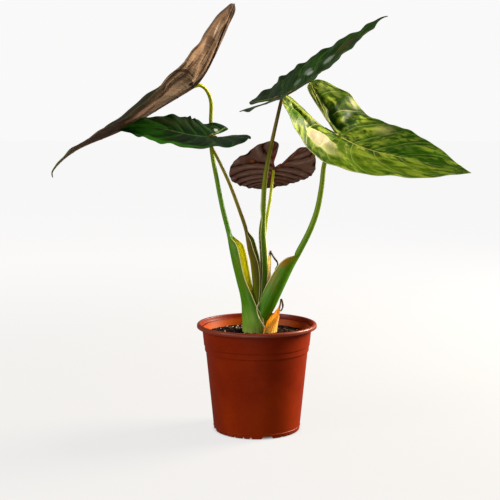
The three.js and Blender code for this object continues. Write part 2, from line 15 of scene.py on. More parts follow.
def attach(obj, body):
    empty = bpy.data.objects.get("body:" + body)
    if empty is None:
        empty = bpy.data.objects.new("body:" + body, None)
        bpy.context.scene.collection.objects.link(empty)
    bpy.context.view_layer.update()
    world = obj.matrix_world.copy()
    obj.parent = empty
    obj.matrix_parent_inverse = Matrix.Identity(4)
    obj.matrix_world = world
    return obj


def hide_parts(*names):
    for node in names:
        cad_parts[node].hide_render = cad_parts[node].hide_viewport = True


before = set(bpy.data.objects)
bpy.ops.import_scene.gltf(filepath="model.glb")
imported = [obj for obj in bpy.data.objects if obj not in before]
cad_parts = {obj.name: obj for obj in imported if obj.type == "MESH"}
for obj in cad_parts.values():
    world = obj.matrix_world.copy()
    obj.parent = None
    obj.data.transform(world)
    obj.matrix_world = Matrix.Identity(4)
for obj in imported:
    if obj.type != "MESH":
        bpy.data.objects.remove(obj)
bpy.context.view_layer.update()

log = logging.getLogger("potted_alocasia")

MM = 0.001  # sizes in this file are in millimetres, meshes are in metres
SEAM = 0.01 * MM  # points that lie nearer than this become one
TINY = 1e-6  # keeps rounding out of a comparison, and 0 out of a division
HAIR = 1e-9  # keeps the points of a midrib on their own half
BODY = "root"
Piece = bpy.types.Object
Socket = bpy.types.NodeSocket
Point = tuple[float, float, float]
Flat = tuple[float, float]
Tones = tuple[tuple[float, str], ...]  # heights or places on a ramp, each with its colour

# ---------------- leaf outline, shared by all blades

# Half of a flat blade. Along: 1 is the tip, 0 the petiole, -1 the ends of the lobes. Across: 1 is the
# half width.
OUTER_MARGIN: tuple[Flat, ...] = (
    (-1, 0.42), (-0.93, 0.64), (-0.6, 0.88), (-0.15, 1), (0.14, 0.97), (0.36, 0.81), (0.6, 0.54),
    (0.8, 0.27), (0.93, 0.08), (1, 0),
)
INNER_MARGIN: tuple[Flat, ...] = (
    (-0.05, 0), (-0.12, 0.06), (-0.4, 0.13), (-0.7, 0.2), (-0.93, 0.28), (-1, 0.42),
)
BASAL_VEIN: tuple[Flat, ...] = ((0, 0), (-0.5, 0.22), (-1, 0.42))
SINUS_FOOT = 0.36  # share of the outer margin that lies behind the petiole
LOBE_STATION = 0.5  # share of the lobes' length where their station lies
RIB_CROWDING = 1.25  # rows stand closer near the petiole
COLUMN_CROWDING = 0.65  # columns stand closer near the rib
RIB_TURN = 4.0  # distance from the rib over which the two halves' faces turn into their fold


# ---------------- shader helpers


def colour(code: str) -> tuple[float, float, float, float]:
    """A colour as light values.

    Args:
        code: The colour as six hexadecimal digits, such as "a23408".

    Returns:
        Red, green, blue and 1, as the renderer counts light.
    """
    parts = [int(code[i:i + 2], 16) / 255 for i in (0, 2, 4)]
    light = [p / 12.92 if p <= 0.04045 else ((p + 0.055) / 1.055) ** 2.4 for p in parts]
    return light[0], light[1], light[2], 1.0


class Value:
    """One number in a material's node tree. Arithmetic on it adds Math nodes."""

    def __init__(self, paint: "Paint", socket: Socket) -> None:
        """Wraps a socket of a material that is being mixed."""
        self.paint = paint
        self.socket = socket

    def math(self, operation: str, *others: "Value | float", first: bool = True) -> "Value":
        """The result of a Math node.

        Args:
            operation: The node's operation.
            others: What it works with, after this value.
            first: False puts this value after the others.

        Returns:
            The node's result.
        """
        terms = [self, *others] if first else [*others, self]
        sockets = dict(enumerate(terms))
        made = self.paint.node("ShaderNodeMath", {"operation": operation}, sockets)
        return Value(self.paint, made.outputs[0])

    def __add__(self, other: "Value | float") -> "Value":
        """The sum."""
        return self.math("ADD", other)

    __radd__ = __add__

    def __sub__(self, other: "Value | float") -> "Value":
        """The difference."""
        return self.math("SUBTRACT", other)

    def __rsub__(self, other: float) -> "Value":
        """The difference, from a plain number."""
        return self.math("SUBTRACT", other, first=False)

    def __mul__(self, other: "Value | float") -> "Value":
        """The product."""
        return self.math("MULTIPLY", other)

    __rmul__ = __mul__

    def __truediv__(self, other: "Value | float") -> "Value":
        """The quotient."""
        return self.math("DIVIDE", other)

    def __abs__(self) -> "Value":
        """The size without its sign."""
        return self.math("ABSOLUTE")

    def rise(self, low: float, high: float) -> "Value":
        """A smooth step.

        Args:
            low: The value where the step begins.
            high: The value where it is complete.

        Returns:
            0 up to low, 1 from high on.
        """
        sockets = {"Value": self, "From Min": low, "From Max": high}
        made = self.paint.node("ShaderNodeMapRange", {"interpolation_type": "SMOOTHSTEP"}, sockets)
        return Value(self.paint, made.outputs[0])

    def fall(self, low: float, high: float) -> "Value":
        """The same step downwards: 1 up to low, 0 from high on."""
        return 1 - self.rise(low, high)

    def to_line(self) -> "Value":
        """How far the value is from the nearest whole number, from 0 to a half."""
        return abs((self + 0.5).math("FRACT") - 0.5)


class Paint:
    """A material that is being mixed: its node tree and the ways to add to it."""

    def __init__(self, name: str, world: bool = False) -> None:
        """Starts an empty node tree.

        Args:
            name: The name of what is mixed.
            world: True for the light of a room, False for a material.
        """
        self.owner = (bpy.data.worlds if world else bpy.data.materials).new(name)
        self.owner.use_nodes = True
        self.tree = self.owner.node_tree
        self.tree.nodes.clear()

    def node(self, kind: str, settings: dict | None = None, sockets: dict | None = None) -> bpy.types.Node:
        """Adds one node.

        Args:
            kind: The node's type.
            settings: The node's own settings, which are set first. "stops" gives a ramp's stops.
            sockets: Values or links for its inputs, by name or number.

        Returns:
            The node.
        """
        made = self.tree.nodes.new(kind)
        for name, value in (settings or {}).items():
            if name == "stops":
                self.set_stops(made.color_ramp, value)
            else:
                setattr(made, name, value)
        for name, value in (sockets or {}).items():
            self.feed(made.inputs[name], value)
        return made

    def set_stops(self, ramp: bpy.types.ColorRamp, stops: Sequence[tuple[float, str]]) -> None:
        """Gives a ramp its stops: all the places first, because the ramp sorts itself by place.

        Args:
            ramp: The ramp.
            stops: Places from 0 to 1 with their colours.
        """
        while len(ramp.elements) < len(stops):
            ramp.elements.new(0.5)
        for element, (place, _) in zip(ramp.elements, stops):
            element.position = place
        for element, (_, code) in zip(ramp.elements, stops):
            element.color = colour(code)

    def feed(self, socket: Socket, value: object) -> None:
        """Links a value or a socket to an input, or sets the input to a plain value.

        Args:
            socket: The input.
            value: What it gets.
        """
        if isinstance(value, Value):
            self.tree.links.new(value.socket, socket)
        elif isinstance(value, Socket):
            self.tree.links.new(value, socket)
        else:
            socket.default_value = value

    def place(self) -> Socket:
        """The point of the surface, in metres."""
        return self.node("ShaderNodeTexCoord").outputs["Object"]

    def axis(self, name: str) -> Value:
        """One coordinate of the surface point, in metres."""
        split = self.node("ShaderNodeSeparateXYZ", sockets={0: self.place()})
        return Value(self, split.outputs[name])

    def radius(self) -> Value:
        """Distance of the surface point from the upright axis, in metres."""
        across, deep = self.axis("X"), self.axis("Y")
        return (across * across + deep * deep).math("SQRT")

    def attribute(self, name: str) -> Value:
        """A number that the mesh carries at each point."""
        return Value(self, self.node("ShaderNodeAttribute", {"attribute_name": name}).outputs["Fac"])

    def attributes(self, *names: str) -> list[Value]:
        """Several such numbers."""
        return [self.attribute(name) for name in names]

    def point(self, x: "Value | float", y: "Value | float", z: "Value | float" = 0.0) -> Socket:
        """A vector from three numbers."""
        return self.node("ShaderNodeCombineXYZ", sockets={0: x, 1: y, 2: z}).outputs[0]

    def stretched(self, level: float, upright: float) -> Socket:
        """The surface point with its level and its upright coordinates multiplied."""
        return self.point(self.axis("X") * level, self.axis("Y") * level, self.axis("Z") * upright)

    def grain(self, scale: float, at: Socket | None = None, detail: float = 3.0,
              rough: float = 0.5, swirl: float = 0.0) -> Value:
        """Soft random variation.

        Args:
            scale: How many patches to a unit of length.
            at: The coordinates, or None for the point in metres.
            detail: How many finer layers it has.
            rough: How strong the finer layers are.
            swirl: How much the pattern bends.

        Returns:
            A value around a half.
        """
        sockets = {"Vector": at or self.place(), "Scale": scale, "Detail": detail, "Roughness": rough,
                   "Distortion": swirl}
        return Value(self, self.node("ShaderNodeTexNoise", sockets=sockets).outputs[0])

    def cells(self, scale: float) -> Value:
        """Distance to the nearest wall of a random net of cells, as between the finest veins.

        Args:
            scale: How many cells to a metre.

        Returns:
            0 on a wall.
        """
        sockets = {"Vector": self.place(), "Scale": scale}
        made = self.node("ShaderNodeTexVoronoi", {"feature": "DISTANCE_TO_EDGE"}, sockets)
        return Value(self, made.outputs["Distance"])

    def ramp(self, value: Value, stops: Sequence[tuple[float, str]]) -> Socket:
        """A colour read from stops at a value from 0 to 1."""
        return self.node("ShaderNodeValToRGB", {"stops": stops}, {0: value}).outputs[0]

    def toned(self, height: Value, tones: Tones) -> Socket:
        """A colour that changes with height.

        Args:
            height: The height.
            tones: Heights from the lowest up, with their colours.

        Returns:
            The colour.
        """
        low, high = tones[0][0], tones[-1][0]
        stops = [((z - low) / (high - low), code) for z, code in tones]
        return self.ramp((height - low) / (high - low), stops)

    def blend(self, share: "Value | float", below: object, above: object, mode: str = "MIX") -> Socket:
        """One colour laid over another.

        Args:
            share: How much of the upper colour shows.
            below: The lower colour, as a socket or six digits.
            above: The upper colour.
            mode: How they combine.

        Returns:
            The resulting colour.
        """
        ends = [colour(c) if isinstance(c, str) else c for c in (below, above)]
        settings = {"data_type": "RGBA", "blend_type": mode}
        return self.node("ShaderNodeMix", settings, {0: share, 6: ends[0], 7: ends[1]}).outputs[2]

    def bump(self, height: Value, depth: float) -> Socket:
        """The normal of fine relief that runs from 0 to 1, where 1 stands for a depth in millimetres."""
        return self.node("ShaderNodeBump", sockets={"Distance": depth * MM, "Height": height}).outputs[0]

    def mixed(self, share: object, one: Socket, other: Socket) -> Socket:
        """Two shaders mixed, with a share of the second."""
        return self.node("ShaderNodeMixShader", sockets={0: share, 1: one, 2: other}).outputs[0]

    def finish(self, base: object, roughness: "Value | float", glow: float = 0.0,
               glow_colour: object = None, **sockets: object) -> bpy.types.Material:
        """Closes the material with its surface shader.

        Args:
            base: The base colour, as a socket or six digits.
            roughness: The roughness.
            glow: The share of light that passes through to the other side.
            glow_colour: What passes through, if there is a glow.
            sockets: Further inputs of the shader, with _ for a space.

        Returns:
            The material.
        """
        inputs = {"Base Color": colour(base) if isinstance(base, str) else base, "Roughness": roughness}
        inputs |= {name.replace("_", " "): value for name, value in sockets.items()}
        surface = self.node("ShaderNodeBsdfPrincipled", sockets=inputs).outputs[0]
        if glow:
            lit = {"Color": colour(glow_colour) if isinstance(glow_colour, str) else glow_colour}
            through = self.node("ShaderNodeBsdfTranslucent", sockets=lit).outputs[0]
            surface = self.mixed(glow, surface, through)
        self.node("ShaderNodeOutputMaterial", sockets={"Surface": surface})
        return self.owner


# ---------------- numbers along curves


def smooth(values: Sequence[float], x: np.ndarray) -> np.ndarray:
    """A smooth curve through evenly spaced values.

    Args:
        values: The values, at 0, 1, 2 and so on.
        x: Where the curve is read.

    Returns:
        The curve's value at each place.
    """
    known = np.asarray(values, float)
    last = len(known) - 1
    place = np.clip(x, 0, last)
    i = np.minimum(np.floor(place).astype(int), last - 1)
    f = place - i
    b, c = known[i], known[i + 1]
    a = np.where(i > 0, known[np.maximum(i - 1, 0)], 2 * b - c)
    d = np.where(i + 2 <= last, known[np.minimum(i + 2, last)], 2 * c - b)
    bend = (2 * a - 5 * b + 4 * c - d) * f**2 + (3 * b - a - 3 * c + d) * f**3
    return 0.5 * (2 * b + (c - a) * f + bend)


def smooth_points(points: Sequence[Sequence[float]], x: np.ndarray) -> np.ndarray:
    """The same curve through points, with one row per place."""
    return np.stack([smooth(column, x) for column in zip(*points)], axis=-1)


def at_height(rows: Sequence[Sequence[float]], z: np.ndarray, column: int = 1) -> np.ndarray:
    """Rows of height and values, read smoothly at other heights.

    Args:
        rows: The rows, each with its height first.
        z: The heights to read at.
        column: Which of a row's values is read.

    Returns:
        The values.
    """
    heights = np.array([row[0] for row in rows], float)
    values = np.array([row[column] for row in rows], float)
    steps = np.diff(values)
    keeps_on = np.concatenate([[0.0], np.where(steps[:-1] * steps[1:] <= 0, 0.0, 1.0), [0.0]])
    slopes = np.gradient(values, heights) * keeps_on
    place = np.clip(z, heights[0], heights[-1])
    i = np.clip(np.searchsorted(heights, place, side="right") - 1, 0, len(rows) - 2)
    span = heights[i + 1] - heights[i]
    f = (place - heights[i]) / span
    start = (2 * f**3 - 3 * f**2 + 1) * values[i] + (f**3 - 2 * f**2 + f) * span * slopes[i]
    end = (3 * f**2 - 2 * f**3) * values[i + 1] + (f**3 - f**2) * span * slopes[i + 1]
    return start + end


def ease(x: np.ndarray, low: float, high: float) -> np.ndarray:
    """A smooth step from 0 at low to 1 at high."""
    f = np.clip((x - low) / (high - low), 0, 1)
    return f * f * (3 - 2 * f)


def to_line(x: np.ndarray) -> np.ndarray:
    """How far each value is from the nearest whole number, from 0 to a half."""
    return np.abs((x + 0.5) % 1 - 0.5)


def unit(vectors: np.ndarray) -> np.ndarray:
    """Vectors, one to a row, brought to the length 1."""
    return vectors / np.linalg.norm(vectors, axis=1)[:, None]


def above_foot(route: Sequence[Point], foot: float, row: np.ndarray) -> np.ndarray:
    """Places on the part of a route that lies above a height.

    Args:
        route: The route's points.
        foot: The height.
        row: Shares of the way from there to the route's end.

    Returns:
        The places: 0 at the route's first point, 1 at its second and so on.
    """
    heights = [point[2] for point in route]
    first = float(np.interp(foot, heights, range(len(heights))))
    return first + row * (len(route) - 1 - first)


def follow(route: Sequence[Point], x: np.ndarray, nudge: float = 0.02) -> tuple[np.ndarray, np.ndarray]:
    """Points at places of a smooth route, and unit vectors along it, read a nudge to both sides."""
    onward = smooth_points(route, x + nudge) - smooth_points(route, x - nudge)
    return smooth_points(route, x), unit(onward)


def facing(along: np.ndarray, degrees: "np.ndarray | float") -> np.ndarray:
    """Directions square to a route that come nearest to a compass direction.

    Args:
        along: Unit vectors along the route.
        degrees: The compass direction, from +X towards +Y.

    Returns:
        Unit vectors.
    """
    turn = np.radians(degrees) + np.zeros(len(along))
    compass = np.stack([np.cos(turn), np.sin(turn), 0 * turn], axis=-1)
    return unit(compass - along * np.sum(compass * along, axis=1)[:, None])


# ---------------- mesh helpers


def work_on(piece: Piece) -> None:
    """Makes a piece the only selected object, and the active one.

    Args:
        piece: The piece.
    """
    bpy.ops.object.select_all(action="DESELECT")
    piece.select_set(True)
    bpy.context.view_layer.objects.active = piece


@contextmanager
def editing(piece: Piece) -> Iterator[None]:
    """Keeps a piece in edit mode, at first with its whole mesh selected.

    Args:
        piece: The piece.

    Returns:
        The time in edit mode, for a with statement.
    """
    work_on(piece)
    bpy.ops.object.mode_set(mode="EDIT")
    bpy.ops.mesh.select_all(action="SELECT")
    yield
    bpy.ops.object.mode_set(mode="OBJECT")


def add(primitive: Callable[..., set[str]], **settings: object) -> Piece:
    """Adds a primitive while nothing is selected.

    Args:
        primitive: The operator that adds it.
        settings: The operator's settings.

    Returns:
        The new object.
    """
    bpy.ops.object.select_all(action="DESELECT")
    primitive(**settings)
    return bpy.context.active_object


def new_grid(rows: int, columns: int) -> tuple[Piece, np.ndarray, np.ndarray]:
    """A flat grid whose points are then laid on a surface.

    Args:
        rows: Steps along.
        columns: Steps across.

    Returns:
        The grid, and where each point is along and across it, from 0 to 1.
    """
    piece = add(bpy.ops.mesh.primitive_grid_add, x_subdivisions=rows, y_subdivisions=columns, size=1)
    points = read_points(piece)
    return piece, np.clip(points[:, 0] + 0.5, 0, 1), np.clip(points[:, 1] + 0.5, 0, 1)


def read(elements: bpy.types.bpy_prop_collection, value: str, width: int) -> np.ndarray:
    """Numbers that a mesh holds.

    Args:
        elements: What holds them, such as the mesh's points.
        value: What they are called there.
        width: How many numbers each holds.

    Returns:
        The numbers, one row to each.
    """
    numbers = np.empty(len(elements) * width)
    elements.foreach_get(value, numbers)
    return numbers.reshape(-1, width)


def read_points(piece: Piece) -> np.ndarray:
    """A mesh's points, one row each."""
    return read(piece.data.vertices, "co", 3)


def read_note(piece: Piece, name: str) -> np.ndarray:
    """A number that a mesh carries at each point."""
    return read(piece.data.attributes[name].data, "value", 1)[:, 0]


def lay(piece: Piece, points: np.ndarray) -> None:
    """Puts a mesh's points in place, from rows in metres."""
    piece.data.vertices.foreach_set("co", np.asarray(points, float).ravel())
    piece.data.update()


def note(piece: Piece, **numbers: np.ndarray) -> None:
    """Writes numbers to each point of a mesh, for its material to read.

    Args:
        piece: The piece.
        numbers: The numbers, under their attribute's names.
    """
    for name, values in numbers.items():
        attribute = piece.data.attributes.new(name, "FLOAT", "POINT")
        attribute.data.foreach_set("value", np.asarray(values, np.float32))


def joined(pieces: Sequence[Piece], name: str) -> Piece:
    """Joins pieces into one of that name.

    Args:
        pieces: The pieces.
        name: What the result is called.

    Returns:
        The joined piece.
    """
    bpy.ops.object.select_all(action="DESELECT")
    for piece in pieces:
        piece.select_set(True)
    bpy.context.view_layer.objects.active = pieces[0]
    bpy.ops.object.join()
    pieces[0].name = pieces[0].data.name = name
    return pieces[0]


def merge(piece: Piece) -> None:
    """Makes points that lie together one point."""
    with editing(piece):
        bpy.ops.mesh.remove_doubles(threshold=SEAM)


def face_outwards(piece: Piece) -> None:
    """Turns the faces of a closed shape outwards."""
    with editing(piece):
        bpy.ops.mesh.normals_make_consistent(inside=False)


def closed(piece: Piece, name: str, degrees: float) -> Piece:
    """Makes a sheet that was laid round to its own edge a closed shape.

    Args:
        piece: The sheet.
        name: What the piece is called.
        degrees: The angle up to which its faces are shaded as one.

    Returns:
        The piece.
    """
    piece.name = piece.data.name = name
    merge(piece)
    with editing(piece):
        bpy.ops.mesh.fill_holes(sides=0)
    face_outwards(piece)
    shade(piece, degrees)
    return piece


def modified(piece: Piece, kind: str, **settings: object) -> None:
    """Adds a modifier and applies it.

    Args:
        piece: The piece.
        kind: The modifier's type.
        settings: The modifier's settings.
    """
    made = piece.modifiers.new(kind.lower(), kind)
    for name, value in settings.items():
        setattr(made, name, value)
    work_on(piece)
    bpy.ops.object.modifier_apply(modifier=made.name)


def shade(piece: Piece, degrees: float = 50) -> None:
    """Shades a piece smooth up to an angle between its faces."""
    work_on(piece)
    bpy.ops.object.shade_smooth_by_angle(angle=math.radians(degrees))


def ready(piece: Piece, material: bpy.types.Material, slot: str, *nodes: str) -> None:
    """Dresses a finished piece and ties it to the frame.

    Args:
        piece: The piece.
        material: Its material.
        slot: Not used.
        nodes: The nodes that it stands for.
    """
    piece.data.materials.clear()
    piece.data.materials.append(material)
    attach(piece, BODY)
    if nodes:
        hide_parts(*nodes)


# ---------------- blades


@dataclass(frozen=True)
class Mark:
    """A patch of another colour on a blade, in the blade's own coordinates.

    Place runs from -1 at the lobe's end over 0 at the petiole to 1 at the tip. Reach runs from 0 at
    the rib to 1 at the right margin and to -1 at the left one. Some patches are tints of the blade's own,
    others paint highlights and shade.
    """

    place: float
    reach: float
    long: float
    wide: float
    tint: str
    strength: float = 1.0
    slant: float = 0.0
    soft: float = 0.5

    def share(self, place: Value, reach: Value, ragged: Value) -> Value:
        """How much of the patch shows.

        Args:
            place: The place of the surface point.
            reach: Its reach.
            ragged: How far the patch's edge strays.

        Returns:
            A share from 0 to the patch's strength.
        """
        along = (place - self.place - (reach - self.reach) * self.slant) / self.long
        across = (reach - self.reach) / self.wide
        away = (along * along + across * across).math("SQRT") + ragged
        return away.fall(1 - self.soft, 1 + self.soft * 0.4) * self.strength


@dataclass(frozen=True)
class Tuck:
    """A fold pressed into a blade, in a patch's coordinates. Deep is in millimetres, downwards."""

    place: float
    reach: float
    long: float
    wide: float
    deep: float
    slant: float = 0.0

    def lift(self, place: np.ndarray, reach: np.ndarray) -> np.ndarray:
        """How far it moves the blade's points.

        Args:
            place: Places of the points.
            reach: Their reaches, below 0 on the left half.

        Returns:
            Distances upwards in millimetres.
        """
        along = (place - self.place) / self.long
        across = (reach - self.reach - (place - self.place) * self.slant) / self.wide
        return -self.deep * np.exp(-(along**2) - across**2)


class Ground(Enum):
    """How the colour between the veins is laid."""

    EVEN = "even"
    # painted shade and highlights of the folds, in streaks along the rib
    STREAKED = "streaked"
    # painted light shining through and gloss, in clouds between the veins
    PATCHED = "patched"
    # painted shade in the furrows, painted highlights on the ribs
    RIBBED = "ribbed"


@dataclass(frozen=True)
class FaceFinish:
    """The look of one side of a blade.

    Deep and main are the ground's darker and lighter colour, and pale lies over both. On the streaked
    and ribbed grounds deep paints shade and pale paints highlights, and on the patched ground pale
    paints light shining through the blade and its gloss. Relief is in millimetres.
    """

    deep: str
    main: str
    pale: str
    vein: str
    rib: str
    ground: Ground = Ground.EVEN
    vein_share: float = 0.6
    rib_share: float = 0.9
    pale_share: float = 0.5
    rough: float = 0.35
    relief: float = 0.4
    marks: tuple[Mark, ...] = ()


@dataclass(frozen=True)
class BladeFinish:
    """The look of a whole blade. Glow is the share of light that comes through it."""

    upper: FaceFinish
    under: FaceFinish
    margin: str
    glow: float
    glow_colour: str
    gloss: float
    margin_width: float = 0.9
    margin_share: float = 0.7


@dataclass(frozen=True)
class BladeShape:
    """How a blade is bent, at five stations: lobe, junction, first third, second third and tip.

    Heading turns from +X towards +Y, slope rises from level, bank dips the left half. Fold is how far
    a half turns up at the midrib, curl how much more it turns by its margin. Lobe_kink is more slope
    just behind the petiole, and tip_hook more slope and the share of the blade that it bends. Angles
    are in degrees.

    Veins and lobe_veins count the side veins before and behind the petiole. Vein_bow is how far they
    bow, in spaces between veins, and fan how that changes in the lobes. Swell lifts the blade between
    its veins, wave its margin and rumple its face, by millimetres.
    """

    junction: Point
    length: float
    lobes: float
    half_width: float
    heading: tuple[float, ...]
    slope: tuple[float, ...]
    bank: tuple[float, ...]
    fold_right: tuple[float, ...]
    fold_left: tuple[float, ...]
    curl_right: tuple[float, ...]
    curl_left: tuple[float, ...]
    veins: float = 7
    lobe_veins: float = 3
    vein_bow: float = 0.7
    fan: float = 0.0
    swell: float = 0.9
    wave: float = 1.6
    wave_length: float = 40.0
    wave_start: float = 0.0
    lobe_kink: float = 0.0
    tip_hook: Flat = (0.0, 0.1)
    rumple: float = 0.0
    tucks: tuple[Tuck, ...] = ()


@dataclass
class Leaf:
    """One leaf blade: an arrow-shaped outline laid over a bent midrib, with its veins and margins.

    Rows and columns are the mesh's steps, and steps those in which the midrib's line is added up. The
    rib and the side veins stand out below. The relief sets in over calm, from the middle line, is
    full in rows as long as full_row, and fades over end_share at both ends. Tucks set in over
    tuck_rows, by the rows' lengths. Furrow is half a side vein's, counted in spaces between veins,
    and half_shift parts the two margins' waves.
    """

    name: str
    shape: BladeShape
    finish: BladeFinish
    slot: str
    rib_rows: int = 120
    lobe_rows: int = 50
    columns: int = 38
    steps: int = 64
    thickness: float = 0.8
    rib_depth: float = 1.5
    rib_width: float = 2.3
    rib_taper: float = 0.72
    vein_depth: float = 0.35
    vein_width: float = 0.8
    groove_depth: float = 0.5
    groove_width: float = 1.4
    kink_run: float = 14.0
    kink_share: float = 0.55
    calm: float = 12.0
    full_row: float = 30.0
    end_share: float = 0.125
    tuck_rows: Flat = (20.0, 40.0)
    furrow: float = 0.22
    half_shift: float = 0.27

    def station(self, along: np.ndarray) -> np.ndarray:
        """Where a distance along the blade lies among the five stations."""
        behind = 1 - np.minimum(1, -along / (LOBE_STATION * self.shape.lobes))
        return np.where(along < 0, behind, 1 + 3 * along / self.shape.length)

    def directions(self, along: np.ndarray) -> tuple[np.ndarray, np.ndarray, np.ndarray]:
        """The blade's own directions.

        Args:
            along: Distances from the petiole towards the tip.

        Returns:
            Forward, right and up, with one row per distance.
        """
        x = self.station(along)
        heading = np.radians(smooth(self.shape.heading, x))
        fading = 1 - ease(-along, self.kink_run, self.kink_share * self.shape.lobes)
        kink = self.shape.lobe_kink * ease(-along, 0, self.kink_run) * fading
        turn, share = self.shape.tip_hook
        hook = turn * ease(along / self.shape.length, 1 - share, 1)
        slope = np.radians(smooth(self.shape.slope, x) + kink + hook)
        bank = np.radians(smooth(self.shape.bank, x))[:, None]
        flat = np.cos(slope)
        forward = np.stack([flat * np.cos(heading), flat * np.sin(heading), np.sin(slope)], axis=-1)
        level = np.stack([np.sin(heading), -np.cos(heading), 0 * heading], axis=-1)
        above = np.cross(level, forward)
        right = level * np.cos(bank) + above * np.sin(bank)
        up = above * np.cos(bank) - level * np.sin(bank)
        return forward, right, up

    def centre(self, along: np.ndarray) -> np.ndarray:
        """Points of the midrib's line, and of its run on between the lobes.

        Args:
            along: Distances from the petiole towards the tip.

        Returns:
            The points in millimetres.
        """
        found = np.zeros((len(along), 3))
        for length, sign in ((self.shape.length, 1), (self.shape.lobes, -1)):
            step = length / self.steps
            middles = sign * (np.arange(self.steps) + 0.5) * step
            strides = sign * step * self.directions(middles)[0]
            line = np.concatenate([[self.shape.junction], self.shape.junction + np.cumsum(strides, axis=0)])
            here = np.clip(sign * along, 0, length)
            knots = np.arange(self.steps + 1) * step
            spot = np.stack([np.interp(here, knots, line[:, axis]) for axis in range(3)], axis=-1)
            found = np.where((sign * along >= 0)[:, None], spot, found)
        return found

    def surface(self, along: np.ndarray, across: np.ndarray, lift: np.ndarray) -> np.ndarray:
        """Points of the blade.

        Args:
            along: Distances along the midrib.
            across: Distances across, to the right if above 0.
            lift: Distances off the blade's middle, upwards.

        Returns:
            The points in metres.
        """
        shape = self.shape
        x = self.station(along)
        _, right, up = self.directions(along)
        side = np.where(across < 0, -1.0, 1.0)
        fold = np.radians(np.where(side > 0, smooth(shape.fold_right, x), smooth(shape.fold_left, x)))
        curl = np.radians(np.where(side > 0, smooth(shape.curl_right, x), smooth(shape.curl_left, x)))
        curl = np.where(np.abs(curl) < TINY, TINY, curl) / shape.half_width
        reach = np.abs(across)
        end = fold + curl * reach
        out = (np.sin(end) - np.sin(fold)) / curl
        rise = (np.cos(fold) - np.cos(end)) / curl
        tilt = end * np.minimum(1, reach / RIB_TURN)
        outward = (side * (out - lift * np.sin(tilt)))[:, None]
        upward = (rise + lift * np.cos(tilt))[:, None]
        return MM * (self.centre(along) + right * outward + up * upward)

    def sized(self, points: np.ndarray) -> np.ndarray:
        """Outline points in millimetres."""
        along = points[:, 0] * np.where(points[:, 0] < 0, self.shape.lobes, self.shape.length)
        return np.stack([along, points[:, 1] * self.shape.half_width], axis=-1)

    def row_ends(self, place: np.ndarray, inner: bool) -> tuple[np.ndarray, np.ndarray]:
        """Where each row starts at a rib and where it ends at a margin.

        Args:
            place: The rows' places, -1 at the lobe's end, 0 at the petiole, 1 at the tip.
            inner: True for the rows between a lobe's vein and the notch.

        Returns:
            The starts and the ends in millimetres.
        """
        vein = self.sized(smooth_points(BASAL_VEIN, np.maximum(-place, 0) * (len(BASAL_VEIN) - 1)))
        if inner:
            return vein, self.sized(smooth_points(INNER_MARGIN, -place * (len(INNER_MARGIN) - 1)))
        rib = np.stack([self.shape.length * np.maximum(place, 0) ** RIB_CROWDING, 0 * place], axis=-1)
        start = np.where((place < 0)[:, None], vein, rib)
        share = np.where(place < 0, SINUS_FOOT * (1 + place), SINUS_FOOT + (1 - SINUS_FOOT) * place)
        return start, self.sized(smooth_points(OUTER_MARGIN, share * (len(OUTER_MARGIN) - 1)))

    def vein_count(self, place: np.ndarray, reach: np.ndarray) -> np.ndarray:
        """The number of side veins passed on the way to a point, counted from the petiole.

        Args:
            place: Places of the points.
            reach: Shares of the way from the rib to the margin.

        Returns:
            The numbers, whole on a vein.
        """
        passed = place * np.where(place < 0, self.shape.lobe_veins, self.shape.veins)
        spread = 1 - self.shape.fan * ease(-place, -0.1, 0.4)
        return passed - self.shape.vein_bow * spread * reach**2

    def swells(self, place: np.ndarray, reach: np.ndarray) -> np.ndarray:
        """How far the blade swells between its side veins, upwards in millimetres."""
        pillow = 1 - np.exp(-((to_line(self.vein_count(place, reach)) / self.furrow) ** 2))
        return self.shape.swell * (pillow - 0.5) * np.sin(np.pi * reach**0.8)

    def waves(self, margin: np.ndarray, reach: np.ndarray, side: float) -> np.ndarray:
        """How far the blade waves towards its margin, by two waves of unlike lengths.

        Args:
            margin: Distances along the blade of the rows' ends.
            reach: Shares of the way from the rib to the margin.
            side: 1 on the right half, -1 on the left.

        Returns:
            Distances upwards in millimetres.
        """
        start = self.shape.wave_start + self.half_shift * side
        turns = 2 * np.pi * (margin / self.shape.wave_length + start)
        wave = 0.8 * np.sin(turns) + 0.5 * np.sin(1.83 * turns + 1.1 * side)
        return self.shape.wave * wave * reach**3

    def folds(self, place: np.ndarray, reach: np.ndarray, side: float, row: np.ndarray) -> np.ndarray:
        """How far the blade crumples, by two layers of crossed ripples, and sinks in its tucks.

        Args:
            place: Places of the points.
            reach: Shares of the way from the rib to the margin.
            side: 1 on the right half, -1 on the left.
            row: The rows' lengths.

        Returns:
            Distances upwards in millimetres.
        """
        crumple = np.sin(9 * reach + 5 * place + side) * np.sin(11 * place - 5 * reach)
        crumple += 0.5 * np.sin(23 * reach - 8 * place) * np.sin(17 * place + 3 * reach + 2)
        tucked = sum(tuck.lift(place, side * reach) for tuck in self.shape.tucks)
        return self.shape.rumple * crumple * np.sin(np.pi * reach) + tucked * ease(row, *self.tuck_rows)

